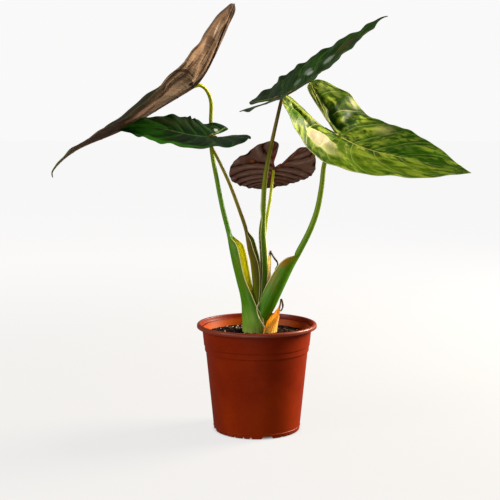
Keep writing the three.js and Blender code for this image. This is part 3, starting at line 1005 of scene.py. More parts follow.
    def patch(self, side: float, inner: bool) -> Piece:
        """One half's stretch of blade, outside or inside its lobe vein.

        Args:
            side: 1 for the right half, -1 for the left.
            inner: True for the stretch between the lobe's vein and the notch.

        Returns:
            The patch, as a single sheet.
        """
        rows = self.lobe_rows if inner else self.lobe_rows + self.rib_rows
        piece, row, column = new_grid(rows, self.columns)
        turn = self.lobe_rows / rows
        place = -row
        if not inner:
            place = np.where(row < turn - TINY, row / turn - 1, (row - turn) / (1 - turn))
            place = np.where(np.abs(place) < TINY, 0, place)
        reach = (1 - COLUMN_CROWDING) * column + COLUMN_CROWDING * column**2
        start, end = self.row_ends(place, inner)
        flat = start + (end - start) * reach[:, None]
        span = np.linalg.norm(end - start, axis=1)
        raised = self.swells(place, reach) + self.waves(end[:, 0], reach, side)
        raised += self.folds(place, reach, side, span)
        groove = self.groove_depth * np.exp(-((reach * span / self.groove_width) ** 2))
        narrow = np.clip(span / self.full_row, 0, 1) * np.clip((1 - np.abs(place)) / self.end_share, 0, 1)
        lift = narrow * (ease(flat[:, 1], 0, self.calm) * raised - groove)
        lay(piece, self.surface(flat[:, 0], side * np.maximum(flat[:, 1], HAIR), lift))
        note(piece, place=place, reach=side * reach, vein=self.vein_count(place, reach),
             rib_gap=reach * span, edge_gap=(1 - reach) * span)
        if side > 0:
            with editing(piece):
                bpy.ops.mesh.flip_normals()
        return piece

    def build(self) -> Piece:
        """Makes the blade, with ribs standing out below.

        Returns:
            The finished mesh.
        """
        patches = [self.patch(side, inner) for side in (1.0, -1.0) for inner in (False, True)]
        piece = joined(patches, f"leaf_{self.name}")
        merge(piece)
        upper = len(piece.data.vertices)
        modified(piece, "SOLIDIFY", thickness=self.thickness * MM, offset=-1, use_quality_normals=True)
        under = (np.arange(len(piece.data.vertices)) >= upper).astype(float)
        note(piece, under=under)
        place, reach, line, rib_gap = (read_note(piece, n) for n in ("place", "reach", "vein", "rib_gap"))
        taper = 1 - self.rib_taper * np.abs(place)
        rib = np.sqrt(np.maximum(0, 1 - (rib_gap / (self.rib_width * taper)) ** 2))
        from_vein = to_line(line) * self.shape.length / self.shape.veins
        vein = np.exp(-((from_vein / self.vein_width) ** 2)) * (1 - np.abs(reach))
        depth = under * (self.rib_depth * taper * rib + self.vein_depth * vein)
        normals = read(piece.data.vertex_normals, "vector", 3)
        lay(piece, read_points(piece) + normals * (MM * depth)[:, None])
        shade(piece)
        return piece

    def ground(self, paint: Paint, look: FaceFinish, wander: Value) -> tuple[Socket, Value]:
        """The colour between the veins.

        Args:
            paint: The material.
            look: The side's look.
            wander: Soft variation that bends the pattern.

        Returns:
            The colour, and the streaks in it from 0 to 1.
        """
        place, reach, line = paint.attributes("place", "reach", "vein")
        blotches = paint.grain(28, detail=4, rough=0.6)
        if look.ground is Ground.STREAKED:
            # Painted shade and highlights of the blade's folds, in streaks along the rib.
            with_rib = paint.point(place * 1.8, reach * 8.0, 0.3)
            streaks = paint.grain(1.0, with_rib, detail=5, rough=0.6, swirl=0.6)
            main = (streaks * 0.9 + blotches * 0.1).rise(0.4, 0.57)
            light = paint.grain(1.7, with_rib, detail=4, swirl=0.3).rise(0.5, 0.7)
        else:
            with_veins = paint.point(line, reach * 1.4, reach.math("SIGN"))
            streaks = paint.grain(3.0, with_veins, detail=5, rough=0.6, swirl=0.8)
        if look.ground is Ground.PATCHED:
            # The pale share paints light shining through the blade and its gloss, in clouds between the
            # veins.
            with_patches = paint.point(line * 0.55, reach * 1.8, place)
            marble = paint.grain(2.6, with_patches, detail=5, rough=0.6, swirl=1.2)
            main = (blotches * 0.3 + marble * 0.7).rise(0.4, 0.6)
            clouds = marble * 0.6 + streaks * 0.4 + blotches * 0.2
            light = line.to_line().rise(0.04, 0.3) * clouds.rise(0.56, 0.7)
        elif look.ground is Ground.RIBBED:
            # Painted shade in the furrows between the veins, painted highlights on the ribs.
            main = (line.to_line() + (wander - 0.5) * 0.3 + (streaks - 0.5) * 0.5).fall(0.26, 0.52)
            light = (line.to_line() * 2 + (wander - 0.5) * 0.3).fall(0.05, 0.35) * streaks.rise(0.3, 0.6)
        elif look.ground is Ground.EVEN:
            main = (blotches * 0.5 + streaks * 0.5).rise(0.35, 0.65)
            light = (line.to_line() + (wander - 0.5) * 0.2).fall(0.02, 0.25) * streaks.rise(0.4, 0.7)
        tone = paint.blend(main, look.deep, look.main)
        return paint.blend(light * look.pale_share, tone, look.pale), streaks

    def face(self, paint: Paint, look: FaceFinish) -> tuple[Socket, Value]:
        """The colour of one side of the blade.

        Args:
            paint: The material.
            look: The side's look.

        Returns:
            The colour, and a relief from 0 to 1.
        """
        place, reach, line, rib_gap = paint.attributes("place", "reach", "vein", "rib_gap")
        spacing = self.shape.length / self.shape.veins
        side_vein = (line.to_line() * spacing).fall(0.2, 1.0) * abs(reach).fall(0.8, 1.0)
        wander = paint.grain(24, detail=3)
        fine_vein = (line * 3 + wander * 1.6).to_line().fall(0.0, 0.2)
        tone, streaks = self.ground(paint, look, wander)
        tone = paint.blend(fine_vein * (0.2 * look.vein_share), tone, look.vein)
        tone = paint.blend(side_vein * look.vein_share, tone, look.vein)
        tone = paint.blend((rib_gap + place * 0.8).fall(0.7, 1.7) * look.rib_share, tone, look.rib)
        ragged = (paint.grain(70, detail=4, rough=0.6) - 0.5) * 1.1
        # Marks lay tints of the blade's own, painted highlights and painted shade, as the finishes list
        # them.
        for mark in look.marks:
            tone = paint.blend(mark.share(place, reach, ragged), tone, mark.tint)
        relief = streaks * 0.35 + fine_vein * 0.3 + paint.cells(420).rise(0.0, 0.12) * 0.08
        return tone, relief

    def material(self) -> bpy.types.Material:
        """Mixes the blade's material: its upper side, its underside and its margin.

        Returns:
            The material.
        """
        paint = Paint(f"{self.name}_blade")
        finish = self.finish
        upper, upper_relief = self.face(paint, finish.upper)
        under, under_relief = self.face(paint, finish.under)
        below = paint.attribute("under").rise(0.45, 0.55)
        tone = paint.blend(below, upper, under)
        width = finish.margin_width
        edge = paint.attribute("edge_gap").fall(0.3 * width, width) * finish.margin_share
        tone = paint.blend(edge, tone, finish.margin)
        relief = upper_relief * (1 - below) + under_relief * below
        rough = below * (finish.under.rough - finish.upper.rough) + finish.upper.rough
        rough = rough + (paint.grain(45, detail=4) - 0.5) * 0.16
        depth = max(finish.upper.relief, finish.under.relief)
        return paint.finish(
            tone, rough, glow=finish.glow, glow_colour=finish.glow_colour,
            Normal=paint.bump(relief, depth), Specular_IOR_Level=finish.gloss,
        )

    def dress(self, piece: Piece) -> None:
        """Gives the blade its material and its place in the frame."""
        ready(piece, self.material(), self.slot, f"blade_{self.name}")


DULL_UNDERSIDE = FaceFinish("3a3020", "5a4a24", "7a6a34", "8a7a40", "8a7a40", rough=0.5)
BRONZE = BladeFinish(
    upper=FaceFinish(
        "122a0c", "1f4312", "3f6a1c", "6f8a30", "98a050",
        marks=(
            Mark(0.35, 0.70, 0.45, 0.60, "2a2412", 0.85),
            Mark(0.90, 0.60, 0.40, 0.50, "4a7a1c", 0.8),
        ),
    ),
    # The underside's deep colour and streaks paint the soft shade of its folds, its pale colour painted
    # highlights on them.
    under=FaceFinish(
        "38261a", "8e7056", "b89e84", "3d281a", "2a1a10", Ground.STREAKED,
        vein_share=0.35, pale_share=0.6, rough=0.5, relief=0.5,
        # The dark marks by the lobe's end, along the keel and across the folds, and the thin dark lines,
        # paint shade; the pale marks paint highlights on the folds.
        marks=(
            Mark(0.62, -0.50, 0.36, 0.60, "3c2616", 0.8),
            Mark(-0.43, -0.42, 0.17, 0.30, "4e3824", 0.65, -0.2),
            Mark(0.34, -0.88, 0.22, 0.24, "3a2f1a", 0.8),
            Mark(-0.84, -0.76, 0.24, 0.45, "3a281c", 0.9),
            Mark(-0.66, -0.66, 0.16, 0.30, "6a4e38", 0.7),
            Mark(-0.42, -0.66, 0.13, 0.22, "4a3424", 0.75, 0.2),
            Mark(-0.54, -0.56, 0.12, 0.09, "c4a88c", 0.55, -0.35, 0.6),
            Mark(-0.50, -0.34, 0.14, 0.04, "2e1c10", 0.8, -0.35, 0.3),
            Mark(-0.20, -0.80, 0.12, 0.16, "b08c68", 0.5),
            Mark(-0.23, -0.42, 0.11, 0.028, "2a1a10", 0.85, -0.15, 0.3),
            Mark(0.035, -0.68, 0.012, 0.36, "2a1a10", 0.85, -0.17, 0.3),
            Mark(0.02, -0.17, 0.035, 0.09, "160c06", 0.95, 0.0, 0.3),
            Mark(0.17, -0.80, 0.014, 0.06, "20130a", 0.95, 0.2, 0.3),
            Mark(0.14, -0.72, 0.012, 0.05, "20130a", 0.8, 0.2, 0.3),
            Mark(0.20, -0.74, 0.012, 0.05, "20130a", 0.7, 0.2, 0.3),
            Mark(0.33, -0.55, 0.10, 0.12, "c89a88", 0.6),
            Mark(0.16, -0.35, 0.10, 0.20, "b8987c", 0.5),
        ),
    ),
    margin="4a3a20", margin_width=0.8, margin_share=0.5, glow=0.1, glow_colour="a87c44", gloss=0.14,
)
DEEP_GREEN = BladeFinish(
    upper=FaceFinish(
        "041a04", "0c340a", "2c6a1a", "4a8430", "6a8a44", vein_share=0.4, pale_share=0.4, rough=0.34,
        # The three bright green marks paint light shining through the blade and glinting on it; the
        # near-white mark is a painted highlight.
        marks=(
            Mark(0.80, 0.30, 0.30, 0.70, "2f7a16", 0.6),
            Mark(0.62, -0.50, 0.20, 0.30, "2a7014", 0.5),
            Mark(0.35, -0.92, 0.30, 0.10, "3f8a1c", 0.6),
            Mark(-0.50, 0.22, 0.08, 0.14, "d8dccc", 0.85),
            Mark(-0.30, -0.55, 0.40, 0.25, "2c3a12", 0.5),
            Mark(0.30, 0.60, 0.40, 0.30, "2a3416", 0.5),
        ),
    ),
    under=DULL_UNDERSIDE,
    margin="4f7a2a", margin_share=0.35, glow=0.15, glow_colour="3f9a18", gloss=0.14,
)
PLUM = BladeFinish(
    upper=FaceFinish("142008", "22340f", "3c4a1c", "5a6a30", "7a7a40", rough=0.6),
    # On the ribbed underside the deep colour paints shade in the furrows and the pale colour painted
    # highlights on the ribs.
    under=FaceFinish(
        "30190f", "845e50", "b4968c", "3a2118", "7a3a26", Ground.RIBBED,
        vein_share=0.25, pale_share=0.6, rough=0.45, relief=0.6,
        marks=(
            Mark(-0.12, -0.59, 0.05, 0.07, "b0602a", 0.8),
            Mark(0.45, 0.45, 0.30, 0.45, "7a5030", 0.5),
        ),
    ),
    margin="1c0e08", margin_width=0.7, margin_share=0.8, glow=0.08, glow_colour="6a3a20", gloss=0.0,
)
GREY_GREEN = BladeFinish(
    upper=FaceFinish(
        "0d2406", "2c5012", "567a24", "5c7a2c", "8a9a48", vein_share=0.4, pale_share=0.4, rough=0.26,
        # The six grey marks are painted reflections: the gloss on the upper side.
        marks=(
            Mark(0.19, -0.27, 0.04, 0.12, "8a9a86", 0.5),
            Mark(0.29, -0.42, 0.045, 0.14, "9aa896", 0.6),
            Mark(0.31, -0.30, 0.03, 0.08, "c4ccc0", 0.6),
            Mark(0.48, -0.27, 0.05, 0.12, "a4b09e", 0.6),
            Mark(0.52, 0.35, 0.04, 0.10, "8a9a84", 0.5),
            Mark(0.71, 0.30, 0.04, 0.14, "a0ae9a", 0.55),
            Mark(0.62, -0.40, 0.12, 0.35, "5a4a22", 0.4),
            Mark(0.10, 0.50, 0.10, 0.30, "5a4a22", 0.3),
        ),
    ),
    under=DULL_UNDERSIDE,
    margin="4a6a34", margin_share=0.4, glow=0.1, glow_colour="4f9030", gloss=0.16,
)
BRIGHT_GREEN = BladeFinish(
    upper=FaceFinish(
        # On the patched ground the pale colour paints light shining through the blade and its gloss.
        "1c3602", "426a04", "a8b83c", "c8cc74", "ccc868", Ground.PATCHED, pale_share=0.8, rough=0.42,
        # The pale marks paint gloss and light shining through the blade; the near-black marks and the thin
        # dark lines paint shade in the folds and tucks.
        marks=(
            Mark(-0.07, 0.54, 0.20, 0.25, "d8dc98", 0.9, 0.2, 0.12),
            Mark(-0.06, 0.54, 0.17, 0.21, "c8b49c", 0.85, 0.2, 0.12),
            Mark(-0.05, 0.52, 0.13, 0.16, "dccab4", 0.9, 0.2, 0.4),
            Mark(0.10, 0.62, 0.10, 0.14, "b0b468", 0.6, 0.1),
            Mark(-0.66, 0.50, 0.06, 0.24, "a0a450", 0.5, 0.2, 0.8),
            Mark(-0.42, 0.62, 0.16, 0.30, "3f6406", 0.6),
            Mark(-0.36, 0.40, 0.04, 0.20, "b4b478", 0.6, 0.3, 0.6),
            Mark(-0.20, -0.90, 0.08, 0.06, "c4c088", 0.7, 0.3, 0.8),
            Mark(-0.34, -0.72, 0.08, 0.30, "4a6a0c", 0.6),
            Mark(-0.44, -0.76, 0.09, 0.10, "9aa850", 0.5),
            Mark(-0.72, -0.70, 0.10, 0.12, "a8b060", 0.6),
            Mark(-0.64, -0.20, 0.32, 0.14, "060c01", 1.0),
            Mark(-0.24, -0.16, 0.24, 0.12, "070e01", 1.0, 0.3),
            Mark(-0.12, -0.50, 0.05, 0.40, "1a3006", 0.8),
            Mark(-0.34, -0.45, 0.04, 0.40, "1a3006", 0.7),
            Mark(0.04, 0.07, 0.16, 0.05, "203c06", 0.6),
            Mark(0.30, 0.30, 0.12, 0.12, "a8ba3c", 0.6, 0.2),
            Mark(0.55, 0.42, 0.10, 0.12, "a4b838", 0.6, 0.2),
            Mark(0.75, 0.45, 0.10, 0.14, "9cb034", 0.55, 0.2),
            Mark(0.20, -0.75, 0.08, 0.20, "b4b868", 0.6),
            Mark(0.62, -0.40, 0.30, 0.30, "2c560a", 0.5),
            Mark(0.30, 0.55, 0.50, 0.42, "75900c", 0.35),
        ),
    ),
    under=FaceFinish("3a4a10", "5a6a1a", "7a8a28", "8a9038", "98a048", rough=0.45),
    margin="cdd484", margin_share=0.65, glow=0.22, glow_colour="86c01c", gloss=0.06,
)

LEAVES: tuple[Leaf, ...] = (
    Leaf(
        "upper_left", slot="bronze_blade", finish=BRONZE,
        shape=BladeShape(
            junction=(-89, 0, 484), length=244, lobes=126, half_width=74,
            heading=(183, 190, 195, 214, 230), slope=(-61, -33, -31, -20, -50),
            bank=(9, 4, 0, -10, -25),
            fold_right=(26, 24, 20, 10, 4), fold_left=(40, 29, 17, 16, 4),
            curl_right=(-14, -14, -12, -10, -6), curl_left=(-8, 8, 4, 0, -8),
            veins=6, lobe_veins=4, vein_bow=0.8, swell=0.8, wave=1.0, wave_length=60, lobe_kink=-8,
            tip_hook=(-58, 0.05), rumple=0.9,
            tucks=(Tuck(-0.42, -0.42, 0.16, 0.06, 2.5, 0.3), Tuck(-0.10, -0.45, 0.10, 0.10, 2.0, 1.0),
                   Tuck(-0.56, -0.58, 0.12, 0.07, -2.0, 0.5)),
        ),
    ),
    Leaf(
        "left", slot="dark_green_blade", finish=DEEP_GREEN,
        shape=BladeShape(
            junction=(-68, -30, 416), length=130, lobes=50, half_width=54,
            heading=(220, 205, 180, 172, 176), slope=(-8, 2, 14, 2, -18), bank=(12, 21, 24, 28, 34),
            fold_right=(8, 9, 6, 4, 4), fold_left=(6, 9, 2, -7, -14),
            curl_right=(3, -4, -3, -3, -1), curl_left=(-5, -5, -2, 0, 2),
            veins=6, lobe_veins=3, swell=1.1, wave=1.9, wave_length=36, wave_start=0.34,
        ),
    ),
    Leaf(
        "back", slot="dark_bronze_blade", finish=PLUM,
        shape=BladeShape(
            junction=(25, 53, 368), length=128, lobes=53, half_width=63,
            heading=(130, 115, 96, 96, 95), slope=(-46, -38, -18, -10, -5), bank=(-20, -13, -4, -4, -4),
            fold_right=(6, 5, 6, 7, 8), fold_left=(-4, 0, -1, -3, -5),
            curl_right=(-6, 4, 3, 3, 2), curl_left=(-12, -3, 0, 0, 2),
            veins=9, lobe_veins=3.6, vein_bow=1.4, fan=1.6, swell=1.2, wave=1.0, wave_length=24,
            wave_start=0.1,
        ),
    ),
    Leaf(
        "upper_right", slot="dark_green_blade", finish=GREY_GREEN,
        shape=BladeShape(
            junction=(35, -24, 471), length=177, lobes=56, half_width=62,
            heading=(-18, -10, -2, -4, -5), slope=(16, 26, 39, 41, 41), bank=(-14, -15, -17, -22, -24),
            fold_right=(8, 13, 15, 16, 12), fold_left=(6, 10, 11, 8, 2),
            curl_right=(-6, -7, -5, -4, -2), curl_left=(9, 6, 1, -3, -6),
            veins=6, lobe_veins=2.5, swell=1.2, wave=1.8, wave_length=38, wave_start=0.45,
            tip_hook=(-30, 0.08),
        ),
    ),
    Leaf(
        "right", slot="light_green_blade", finish=BRIGHT_GREEN,
        shape=BladeShape(
            junction=(116, 4, 416), length=195, lobes=94, half_width=79,
            heading=(-22, -27, -32, -26, -26), slope=(-46, -29, -12, -12, -10),
            bank=(-28, -28, -28, -32, -36),
            fold_right=(20, 17, 8, 0, -10), fold_left=(14, -4, 3, 10, 14),
            curl_right=(-1, -11, -6, 0, 6), curl_left=(-8, 1, 1, 0, -2),
            veins=5.5, lobe_veins=3, vein_bow=0.9, swell=2.0, wave=1.3, wave_length=60, wave_start=0.2,
            rumple=0.6,
            tucks=(Tuck(-0.66, -0.24, 0.24, 0.07, 8.0, -0.1), Tuck(-0.24, -0.17, 0.18, 0.08, 7.0),
                   Tuck(-0.12, -0.50, 0.05, 0.35, 2.0), Tuck(-0.55, 0.33, 0.28, 0.09, 6.0)),
        ),
    ),
)


# ---------------- petioles and sheaths


@dataclass(frozen=True)
class StalkFinish:
    """The look of a petiole and its sheath.

    Tones are heights in millimetres with their colours, from the foot up. The flush lies by one margin
    of the sheath, above flush_rise. The rim light is a painted highlight, a pale line up the stalk's lit
    edge over rim_light_span.
    """

    tones: Tones
    margin: str
    inside: str
    flush: str
    flush_share: float = 0.0
    flush_side: float = 1.0
    flush_rise: Flat = (185.0, 215.0)
    rim_light_share: float = 0.0
    rim_light_side: float = -0.2
    rim_light_span: tuple[float, float, float, float] = (232.0, 246.0, 325.0, 350.0)
    wander: float = 0.07
    rough: float = 0.4
    glow: float = 0.12
    glow_colour: str = "a8c020"

    def material(self, name: str) -> bpy.types.Material:
        """Mixes the finish.

        Args:
            name: The material's name.

        Returns:
            The material.
        """
        paint = Paint(name)
        height, side, inside, wing = paint.attributes("height", "side", "inside", "wing")
        stray = self.wander * (self.tones[-1][0] - self.tones[0][0])
        tone = paint.toned(height + (paint.grain(26, detail=3) - 0.5) * stray, self.tones)
        streak_at = paint.point(side * 9, height * 0.018, inside * 7)
        streaks = paint.grain(2.2, streak_at, detail=5, rough=0.65)
        tone = paint.blend(streaks.rise(0.5, 0.75) * 0.3, tone, "a8b030")
        tone = paint.blend(streaks.fall(0.3, 0.5) * 0.5, tone, "6a7a20", "MULTIPLY")
        flush = (side * self.flush_side).rise(0.3, 0.95) * wing * height.rise(*self.flush_rise)
        flush = flush * self.flush_share * paint.grain(40, detail=3).rise(0.3, 0.6)
        tone = paint.blend(flush, tone, self.flush)
        # The inside's own paler colour; on the upper left sheath it is painted bright for light shining
        # through the wing.
        tone = paint.blend(inside.rise(0.4, 0.6) * wing * 0.85, tone, self.inside)
        tone = paint.blend(inside.rise(0.4, 0.6) * abs(side).rise(0.8, 0.88) * 0.7, tone, self.flush)
        edge = abs(side).rise(0.93, 0.985) * wing.rise(0.25, 0.8)
        tone = paint.blend(edge * 0.9, tone, self.margin)
        # Painted highlight: a pale line up the edge of the stalk that catches the light.
        rim_light = abs(side - self.rim_light_side).fall(0.08, 0.2)
        rim_light = rim_light * height.rise(*self.rim_light_span[:2]) * height.fall(*self.rim_light_span[2:])
        tone = paint.blend(rim_light * self.rim_light_share, tone, self.margin)
        relief = streaks * 0.7 + paint.grain(600, detail=2) * 0.3
        rough = self.rough + (paint.grain(80, detail=3) - 0.5) * 0.2
        return paint.finish(tone, rough, glow=self.glow, glow_colour=self.glow_colour,
                            Normal=paint.bump(relief, 0.25), Specular_IOR_Level=0.16)


@dataclass
class Stalk:
    """One petiole, whose lower part opens into a wrapping sheath.

    The route runs up the middle of the round petiole. Girth rows are height and petiole radius.
    Sheath rows are height, outer radius, half wrap, wing and open: wing goes from 0, a plain round
    petiole, to 1, an open channel, and open is the compass direction that the channel opens to.
    """

    name: str
    route: tuple[Point, ...]
    girth: tuple[Flat, ...]
    sheath: tuple[tuple[float, ...], ...]
    finish: StalkFinish
    slot: str
    foot: float = 131.0
    ring: int = 18
    steps: int = 110
    heel_share: float = 0.8
    wing_thickness: float = 1.15
    margin_thickness: float = 0.75

    def build(self) -> Piece:
        """Makes the petiole with its sheath.

        Returns:
            The finished mesh.
        """
        count = 2 * self.ring
        piece, row, column = new_grid(self.steps, count)
        centre, along = follow(self.route, above_foot(self.route, self.foot, row))
        z = centre[:, 2]
        inward = facing(along, at_height(self.sheath, z, 4))
        petiole, radius = at_height(self.girth, z), at_height(self.sheath, z)
        wrap, wing = np.radians(at_height(self.sheath, z, 2)), at_height(self.sheath, z, 3)
        point = np.round(column * count).astype(int) % count
        outer = point < self.ring
        side = 2 * np.where(outer, point, count - 1 - point) / (self.ring - 1) - 1
        heel = np.maximum(self.heel_share * petiole - self.wing_thickness, 0)
        thin = (self.wing_thickness - self.margin_thickness) * side**4
        thickness = self.wing_thickness - thin + heel * np.cos(side * np.pi / 2) ** 2
        rho = np.where(outer, radius, radius - thickness)
        angle = np.pi * ((point + 0.5) / self.ring - 0.5)
        plain = petiole * (1 - wing)
        offset = (radius - petiole - rho * np.cos(side * wrap)) * wing - plain * np.cos(angle)
        across = -rho * np.sin(side * wrap) * wing - plain * np.sin(angle)
        lay(piece, MM * (centre + inward * offset[:, None] + np.cross(along, inward) * across[:, None]))
        inside = np.where(outer, 0.0, 1.0) * np.clip(wing, 0, 1)
        note(piece, height=z, side=side, inside=inside, wing=wing)
        return closed(piece, f"stalk_{self.name}", 60)

    def dress(self, piece: Piece) -> None:
        """Gives the stalk its material and its place in the frame."""
        ready(piece, self.finish.material(f"{self.name}_stalk"), self.slot, f"petiole_{self.name}")


STALKS: tuple[Stalk, ...] = (
    Stalk(
        "upper_left", slot="green_petiole",
        route=((-15, -1, 124), (-16, -2, 158), (-18, -2, 186), (-24, -1, 214), (-31, 0, 243),
               (-38, 4, 275), (-48, 10, 313), (-56, 16, 352), (-64, 23, 397), (-65, 25, 437),
               (-64.5, 19, 463), (-70, 12, 479), (-79, 4, 486), (-89, 0, 484)),
        girth=((130, 5), (210, 4.4), (280, 3.6), (400, 2.9), (482, 2.5)),
        sheath=((124, 18.5, 125, 1, 10), (158, 18, 125, 1, 10), (182, 13.5, 118, 1, 0),
                (216, 11.5, 120, 1, -22), (243, 12, 122, 1, -26), (260, 11.5, 120, 1, -26),
                (283, 8, 112, 0, -26)),
        finish=StalkFinish(
            ((131, "a8b868"), (152, "6c9630"), (185, "3f7600"), (260, "387000"), (340, "528000"),
             (420, "8a9c08"), (480, "b8ba10")),
            # The bright inside colour paints light shining through the thin wing, over the sheath's own
            # paler inside.
            margin="f0e89a", inside="e8e41c", flush="7a6408", flush_share=0.35,
        ),
    ),
    Stalk(
        "left", slot="olive_petiole",
        route=((-3.2, -2.2, 124), (-3.6, -3, 165), (-3, -7, 202), (-6, -12, 237), (-10, -15, 258),
               (-15, -18, 286), (-24, -22, 314), (-37, -25, 349), (-51, -28, 380), (-64, -30, 405),
               (-68, -30, 416)),
        girth=((130, 2.8), (200, 3), (300, 2.6), (416, 2.1)),
        sheath=((150, 5, 100, 0, 0), (178, 6.5, 105, 1, 0), (236, 8.5, 118, 1, -8),
                (270, 7, 112, 1, -20), (292, 4.5, 106, 0, -20)),
        finish=StalkFinish(
            ((131, "4f6006"), (200, "4a5804"), (260, "5c4c06"), (330, "746404"), (416, "80780c")),
            margin="ece79a", inside="7d8a1c", flush="3e2410", flush_share=0.7,
        ),
    ),
    Stalk(
        "back", slot="lime_petiole",
        route=((0.5, 3.9, 124), (1, 5, 165), (4, 9, 210), (8, 16, 250), (14, 26, 297), (19, 34, 325),
               (22, 44, 348), (25, 53, 368)),
        girth=((130, 2.8), (220, 2.6), (368, 2)),
        sheath=((138, 3.2, 100, 0, 200), (190, 5, 110, 1, 200), (225, 4.5, 110, 0.8, 200),
                (250, 4, 110, 0, 200)),
        finish=StalkFinish(
            ((131, "6f8c08"), (220, "8fa004"), (300, "aeb40a"), (368, "bcc020")),
            margin="eee79a", inside="c6c840", flush="8a7a20",
        ),
    ),
    Stalk(
        "upper_right", slot="olive_petiole",
        route=((3.4, -2.6, 124), (5, -3.5, 165), (9, -5, 205), (11, -8, 244), (8, -12, 286),
               (9, -14, 328), (11, -16, 356), (15, -18, 383), (21, -20, 411), (27, -22, 438),
               (32, -24, 460), (35, -24, 471)),
        girth=((130, 2.8), (200, 4), (290, 4.1), (380, 3), (471, 2.4)),
        sheath=((150, 5, 100, 0, 195), (185, 5.5, 110, 1, 195), (286, 6, 118, 0.9, 195),
                (322, 5, 110, 0, 195)),
        finish=StalkFinish(
            ((131, "3a6a04"), (230, "446c00"), (310, "567000"), (370, "6e7006"), (420, "6a5608"),
             (471, "5c480c")),
            # The rim light paints the cream highlight down the petiole's lit edge.
            margin="e9e3a0", inside="8a9a20", flush="5c4412", flush_share=0.4, rim_light_share=0.85,
        ),
    ),
    Stalk(
        "right", slot="green_petiole",
        route=((4.8, -1, 124), (9, -2, 152), (15.5, -3, 165), (22.5, -4, 179), (30, -5, 196),
               (39, -6, 216), (48, -6, 235), (60, -7, 257), (74, -7, 285), (84, -6, 313), (90, -5, 345),
               (94, -3, 378), (104, 0, 402), (116, 4, 416)),
        girth=((130, 4), (200, 4.8), (285, 4.1), (380, 3.2), (416, 2.8)),
        sheath=((124, 11, 128, 1, 172), (158, 11.5, 135, 1, 172), (190, 13.5, 145, 1, 172),
                (222, 12.5, 138, 1, 172), (240, 10.5, 128, 0.9, 172), (254, 8, 115, 0, 172)),
        finish=StalkFinish(
            ((131, "467a0a"), (170, "3a7000"), (230, "467c00"), (300, "648200"), (380, "707e04"),
             (416, "8f8c10")),
            margin="e6df9c", inside="7d9a10", flush="a8440a", flush_share=0.7, flush_side=-1.0,
        ),
    ),
)


# ---------------- dried leaf bases


@dataclass
class DriedSkin:
    """An old leaf base that has dried to a ribbed skin.

    Skin rows are height, radius and half wrap in degrees. It is curved about an upright line, and the
    opening is the compass direction that it is open to. Rib_twist is in radians a millimetre, swell
    in millimetres, and ragged the share by which its margins stray.
    """

    name: str
    route: tuple[Point, ...]
    skin: tuple[tuple[float, float, float], ...]
    tones: Tones
    slot: str
    node: str
    # crease is the colour of the painted shade in the creases
    crease: str = "b0640c"
    glow: str = "ffd060"
    thickness: float = 0.8
    ribs: float = 9.0
    rib_depth: float = 0.35
    rib_twist: float = 0.04
    swell: float = 0.4
    ragged: float = 0.05
    opening: float = 180.0
    foot: float = 131.0
    rows: int = 60
    columns: int = 56

    def build(self) -> Piece:
        """Makes the skin.

        Returns:
            The finished mesh.
        """
        piece, row, column = new_grid(self.rows, self.columns)
        centre, along = follow(self.route, above_foot(self.route, self.foot, row))
        z = centre[:, 2]
        inward = facing(along, self.opening)
        side = 2 * column - 1
        radius, wrap = at_height(self.skin, z), np.radians(at_height(self.skin, z, 2))
        ragged = 1 + self.ragged * np.sin(z * 0.45 + side * 2) * np.abs(side) ** 6
        crease = self.rib_depth * np.cos(np.pi * self.ribs * side + self.rib_twist * z)
        swell = self.swell * np.sin(z * 0.17 + 3 * side)
        rho = radius + (crease + swell) * (1 - np.abs(side) ** 8)
        angle = side * wrap * ragged
        offset, across = radius - rho * np.cos(angle), rho * np.sin(angle)
        lay(piece, MM * (centre + inward * offset[:, None] - np.cross(along, inward) * across[:, None]))
        note(piece, height=z, side=side)
        piece.name = piece.data.name = self.name
        modified(piece, "SOLIDIFY", thickness=self.thickness * MM, offset=0, use_quality_normals=True)
        face_outwards(piece)
        shade(piece, 60)
        return piece

    def material(self) -> bpy.types.Material:
        """Mixes the skin's material: fibrous, with painted shade in its creases and a painted highlight
        down one side, and scorched at its edges.

        Returns:
            The material.
        """
        paint = Paint(f"{self.name}_fibres")
        height, side = paint.attributes("height", "side")
        fibres = paint.grain(2.0, paint.point(side * 14, height * 0.03), detail=6, rough=0.7)
        tone = paint.toned(height + (fibres - 0.5) * 18, self.tones)
        # Painted shade in the creases between the ribs.
        crease = (side * (self.ribs / 2) + height * (self.rib_twist / (2 * math.pi))).to_line()
        tone = paint.blend(crease.fall(0.03, 0.2) * 0.6, tone, self.crease, "MULTIPLY")
        tone = paint.blend(fibres.rise(0.5, 0.75) * 0.35, tone, "ffe8a0")
        # Painted highlight down the side that catches the light.
        tone = paint.blend(side.rise(-0.5, -0.15) * height.rise(140, 160) * 0.6, tone, "fff0c4")
        scorch = abs(side).rise(0.86, 1.0) * paint.grain(90, detail=3).rise(0.42, 0.6)
        tone = paint.blend(scorch * side.rise(-1.2, 0.6) * 0.8, tone, "4a220c")
        return paint.finish(tone, 0.55 + fibres * 0.2, glow=0.45, glow_colour=self.glow,
                            Normal=paint.bump(fibres, 0.5), Specular_IOR_Level=0.25)

    def dress(self, piece: Piece) -> None:
        """Gives the skin its material and its place in the frame."""
        ready(piece, self.material(), self.slot, self.node)


